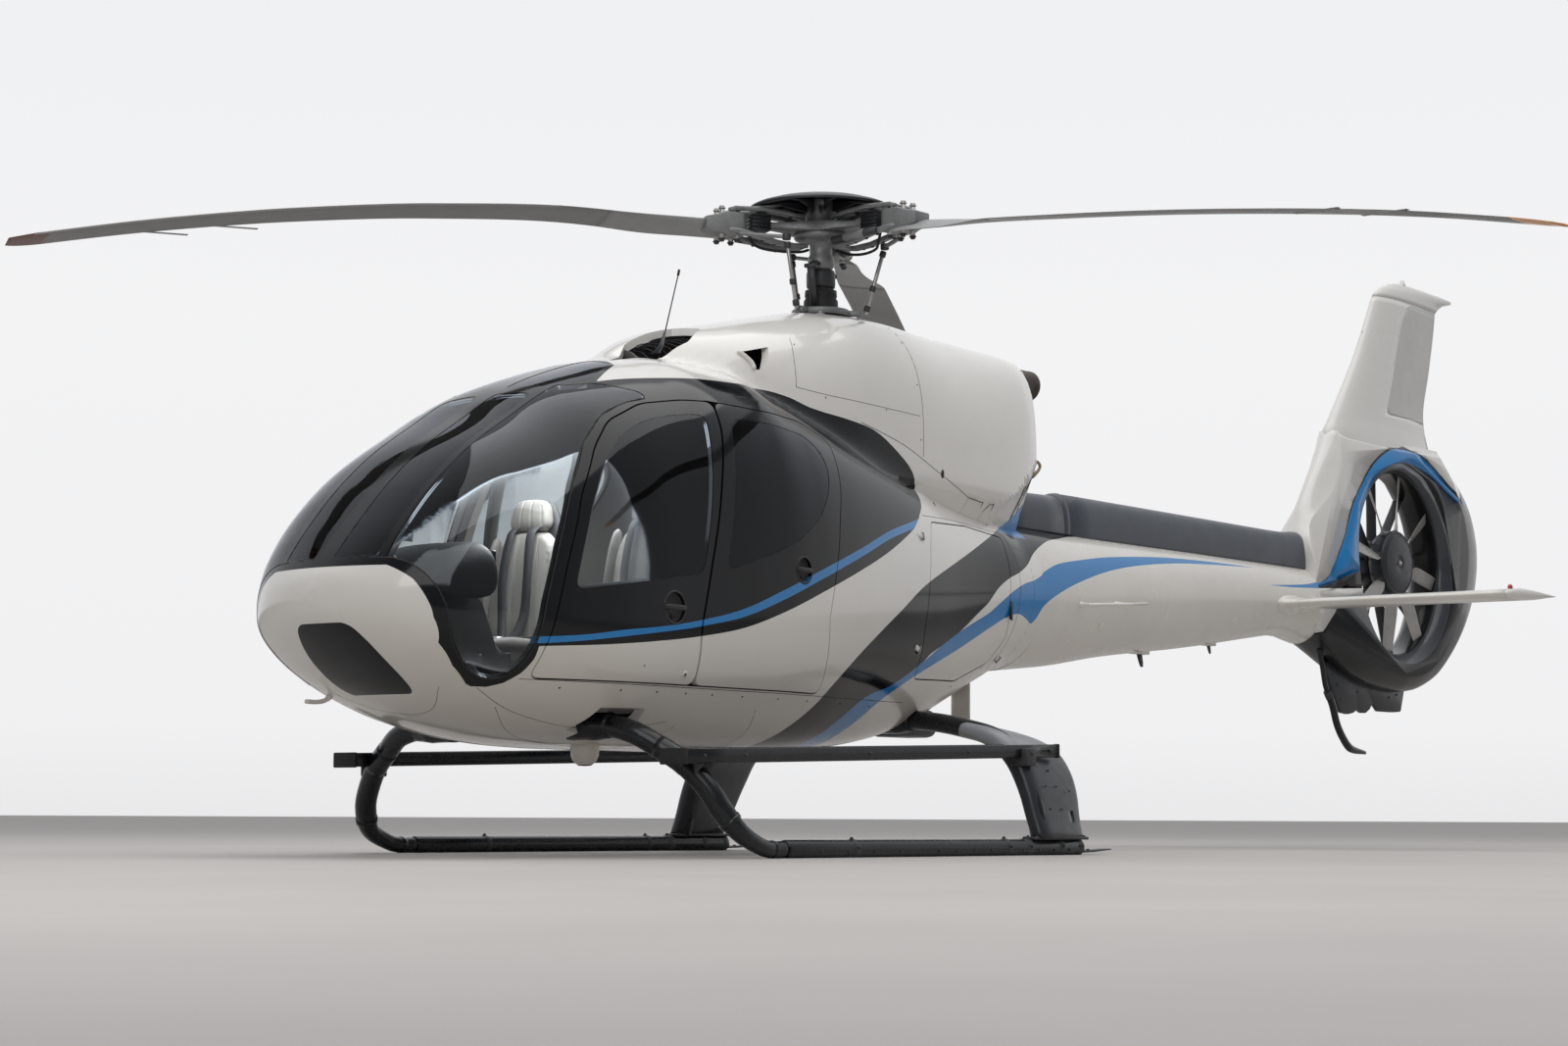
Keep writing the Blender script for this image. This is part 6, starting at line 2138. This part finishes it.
for x, y_ in ((-2.723, 0.0), (-3.430, 0.0)):
    p, n = boom_point(x, -90)
    k = 1.0 if x > -3 else 0.7
    ant.append(paint(rounded(box("bb", (p.x - 0.075 * k, -0.022, p.z - 0.010), (p.x + 0.075 * k, 0.022, p.z + 0.012)), 0.005, 2), BOOM_WHITE, 30))
    ant.append(paint(loft("bf", [[(p.x + dx - dz * 0.35, yy, p.z - dz) for dx, yy in ((0.028 * w, 0), (0.0, 0.007 * w), (-0.030 * w, 0), (0.0, -0.007 * w))] for dz, w in ((0.006, k), (0.05 * k, 0.8 * k), (0.075 * k, 0.5 * k))]), DARK_ALLOY, 40))
# pitot, belly lamp pod, belly drum
pit = [paint(pipe("pt", smooth_path([(2.640, -0.350, 0.640), (2.660, -0.372, 0.606), (2.700, -0.378, 0.596), (2.760, -0.378, 0.596)], 20), 0.009, 14, [1.3] * 6 + [1.0] * 14), WHITE, 50)]
place(join("pitot", pit), "airframe")
lampp = lathe("bl", [(0, 0.360), (0.030, 0.362), (0.048, 0.378), (0.056, 0.400), (0.058, 0.430), (0.058, 0.455), (0, 0.455)], (1.830, 0.235, 0), n=36)
lensb = lathe("bl2", [(0, 0.357), (0.026, 0.359), (0.030, 0.363), (0, 0.365)], (1.830, 0.235, 0), n=28)
drum = rounded(box("dr", (-0.74, -0.06, 0.530), (-0.42, 0.14, 0.66)), 0.045, 4)
mastb = sweep("mb", [(-1.02, 0.06, 0.60), (-1.02, 0.06, 0.80)], [(a * 0.012, b * 0.055) for a, b in circle(1, 20)], None)
place(join("belly_fittings", [paint(lampp, BOOM_WHITE, 40), paint(lensb, RUBBER, 40), paint(drum, SLATE, 40), paint(mastb, BOOM_WHITE, 40)]), "airframe")
place(join("antennas", ant), "airframe")
# rivet lines on the fin and boom
rv = []
for s in (1, -1):
    for k in range(16):
        t = k / 15
        x = -5.250 + (-6.096 + 5.250) * t
        z = 3.040 + 0.022 * math.sin(t * 3.14) - 0.062 * max(t - 0.35, 0)
        h = 0.050 * (1 - t * 0.75)
        a0, b0, t0 = [float(hermite(A[:, 0], A[:, k2], [z])[0]) for k2 in (1, 2, 3)]
        u = min(max((x - a0) / (b0 - a0), 0.0), 1.0)
        y = t0 * (2.97 * math.sqrt(u) - 1.26 * u - 3.516 * u**2 + 2.843 * u**3 - 1.015 * u**4)
        rv.append(paint(sweep("rv", [(x, s * (y - 0.002), z), (x, s * (y + 0.0008), z)], circle(0.0035, 8)), GREY_PANEL, 40))
    for x in np.linspace(-2.0, -4.25, 26):
        w_, h_, zc_ = [float(v[0]) for v in boom_at(np.array([x]))]
        yy = 0.118 if x > -3 else 0.108
        zz = zc_ + h_ * math.sqrt(max(1 - (yy / w_) ** 2, 0))
        rv.append(paint(sweep("rv", [(x, s * yy, zz - 0.002), (x, s * yy, zz + 0.0015)], circle(0.0035, 8)), CAST, 40))
place(join("tail_rivets", rv), "airframe")


# ------------------------------------------------------------------ floor, light and camera
def stage_and_camera():
    floor = loft("floor", [[(400 * math.cos(2 * math.pi * k / 64), 400 * math.sin(2 * math.pi * k / 64), z) for k in range(64)]
                           for z in (-0.05, 0.0)])
    m = surface("floor_plain", (0.50, 0.475, 0.455), 0.62, vary=0.05, patch=0.6, rough_var=0.12, grain=140, grain_bump=0.12, grain_size=0.002)
    paint(floor, m, flat=True)
    w = bpy.data.worlds.new("studio")
    bpy.context.scene.world = w
    w.use_nodes = True
    nt = w.node_tree
    bg = nt.nodes["Background"]
    tc = nt.nodes.new("ShaderNodeTexCoord")
    sep = nt.nodes.new("ShaderNodeSeparateXYZ")
    nt.links.new(tc.outputs["Generated"], sep.inputs[0])
    col = ramp(nt, sep.outputs[2], [(0.0, (0.80, 0.80, 0.81)), (0.03, (0.86, 0.86, 0.87)), (0.16, (0.88, 0.88, 0.89)), (0.45, (0.80, 0.815, 0.84)), (1.0, (0.95, 0.96, 0.98))])
    nt.links.new(col, bg.inputs["Color"])
    dot = nt.nodes.new("ShaderNodeVectorMath")
    dot.operation = "DOT_PRODUCT"
    dot.inputs[1].default_value = (-0.784, -0.620, 0.0)
    nt.links.new(tc.outputs["Generated"], dot.inputs[0])
    mr = nt.nodes.new("ShaderNodeMapRange")
    for k, v in (("From Min", -0.35), ("From Max", 0.9), ("To Min", 0.25), ("To Max", 1.02)):
        mr.inputs[k].default_value = v
    nt.links.new(dot.outputs["Value"], mr.inputs["Value"])
    nt.links.new(mr.outputs[0], bg.inputs["Strength"])
    bpy.context.scene.view_settings.view_transform = "Standard"

    def area(name, at, look, size, power, colour=(1, 1, 1), size_y=None):
        li = bpy.data.lights.new(name, "AREA")
        li.energy = power
        li.color = colour
        li.size = size
        if size_y:
            li.shape = "RECTANGLE"
            li.size_y = size_y
        ob = bpy.data.objects.new(name, li)
        bpy.context.scene.collection.objects.link(ob)
        ob.location = Vector(at)
        ob.rotation_euler = (Vector(look) - Vector(at)).to_track_quat("-Z", "Y").to_euler()
        return ob
    area("overhead", (1.0, 1.0, 11.0), (0, 0, 1.0), 13.0, 760.0, (1.0, 0.99, 0.97))
    area("front_fill", (11.0, 3.0, 6.0), (1.5, 0, 1.2), 6.0, 240.0, (1.0, 1.0, 1.0))
    area("cabin_fill", Vector((1.55, 0.0, 1.78)) + OFF, Vector((1.5, 0, 0.6)) + OFF, 0.7, 28.0)

    yaw, pitch, roll = 3.81122044, 0.0966607480, 0.00457182
    fwd = Vector((math.cos(yaw) * math.cos(pitch), math.sin(yaw) * math.cos(pitch), math.sin(pitch)))
    right = Vector((math.sin(yaw), -math.cos(yaw), 0))
    up = right.cross(fwd)
    r = math.cos(roll) * right + math.sin(roll) * up
    u = -math.sin(roll) * right + math.cos(roll) * up
    cam = bpy.data.cameras.new("camera")
    cam.sensor_width = 36.0
    cam.sensor_fit = "HORIZONTAL"
    cam.lens = 3100.0 / 1600.0 * 36.0
    cam.clip_start, cam.clip_end = 0.1, 900.0
    ob = bpy.data.objects.new("camera", cam)
    bpy.context.scene.collection.objects.link(ob)
    m = Matrix((r, u, -fwd)).transposed().to_4x4()
    m.translation = Vector((10.8400, 8.3732, 0.15698)) + OFF
    ob.matrix_world = m
    bpy.context.scene.camera = ob


stage_and_camera()
for o in list(bpy.data.objects):
    if o.name in ("teardrop", "stripe", "band", "band2", "blue_root") or o.name.startswith("cutter"):
        bpy.data.objects.remove(o, do_unlink=True)
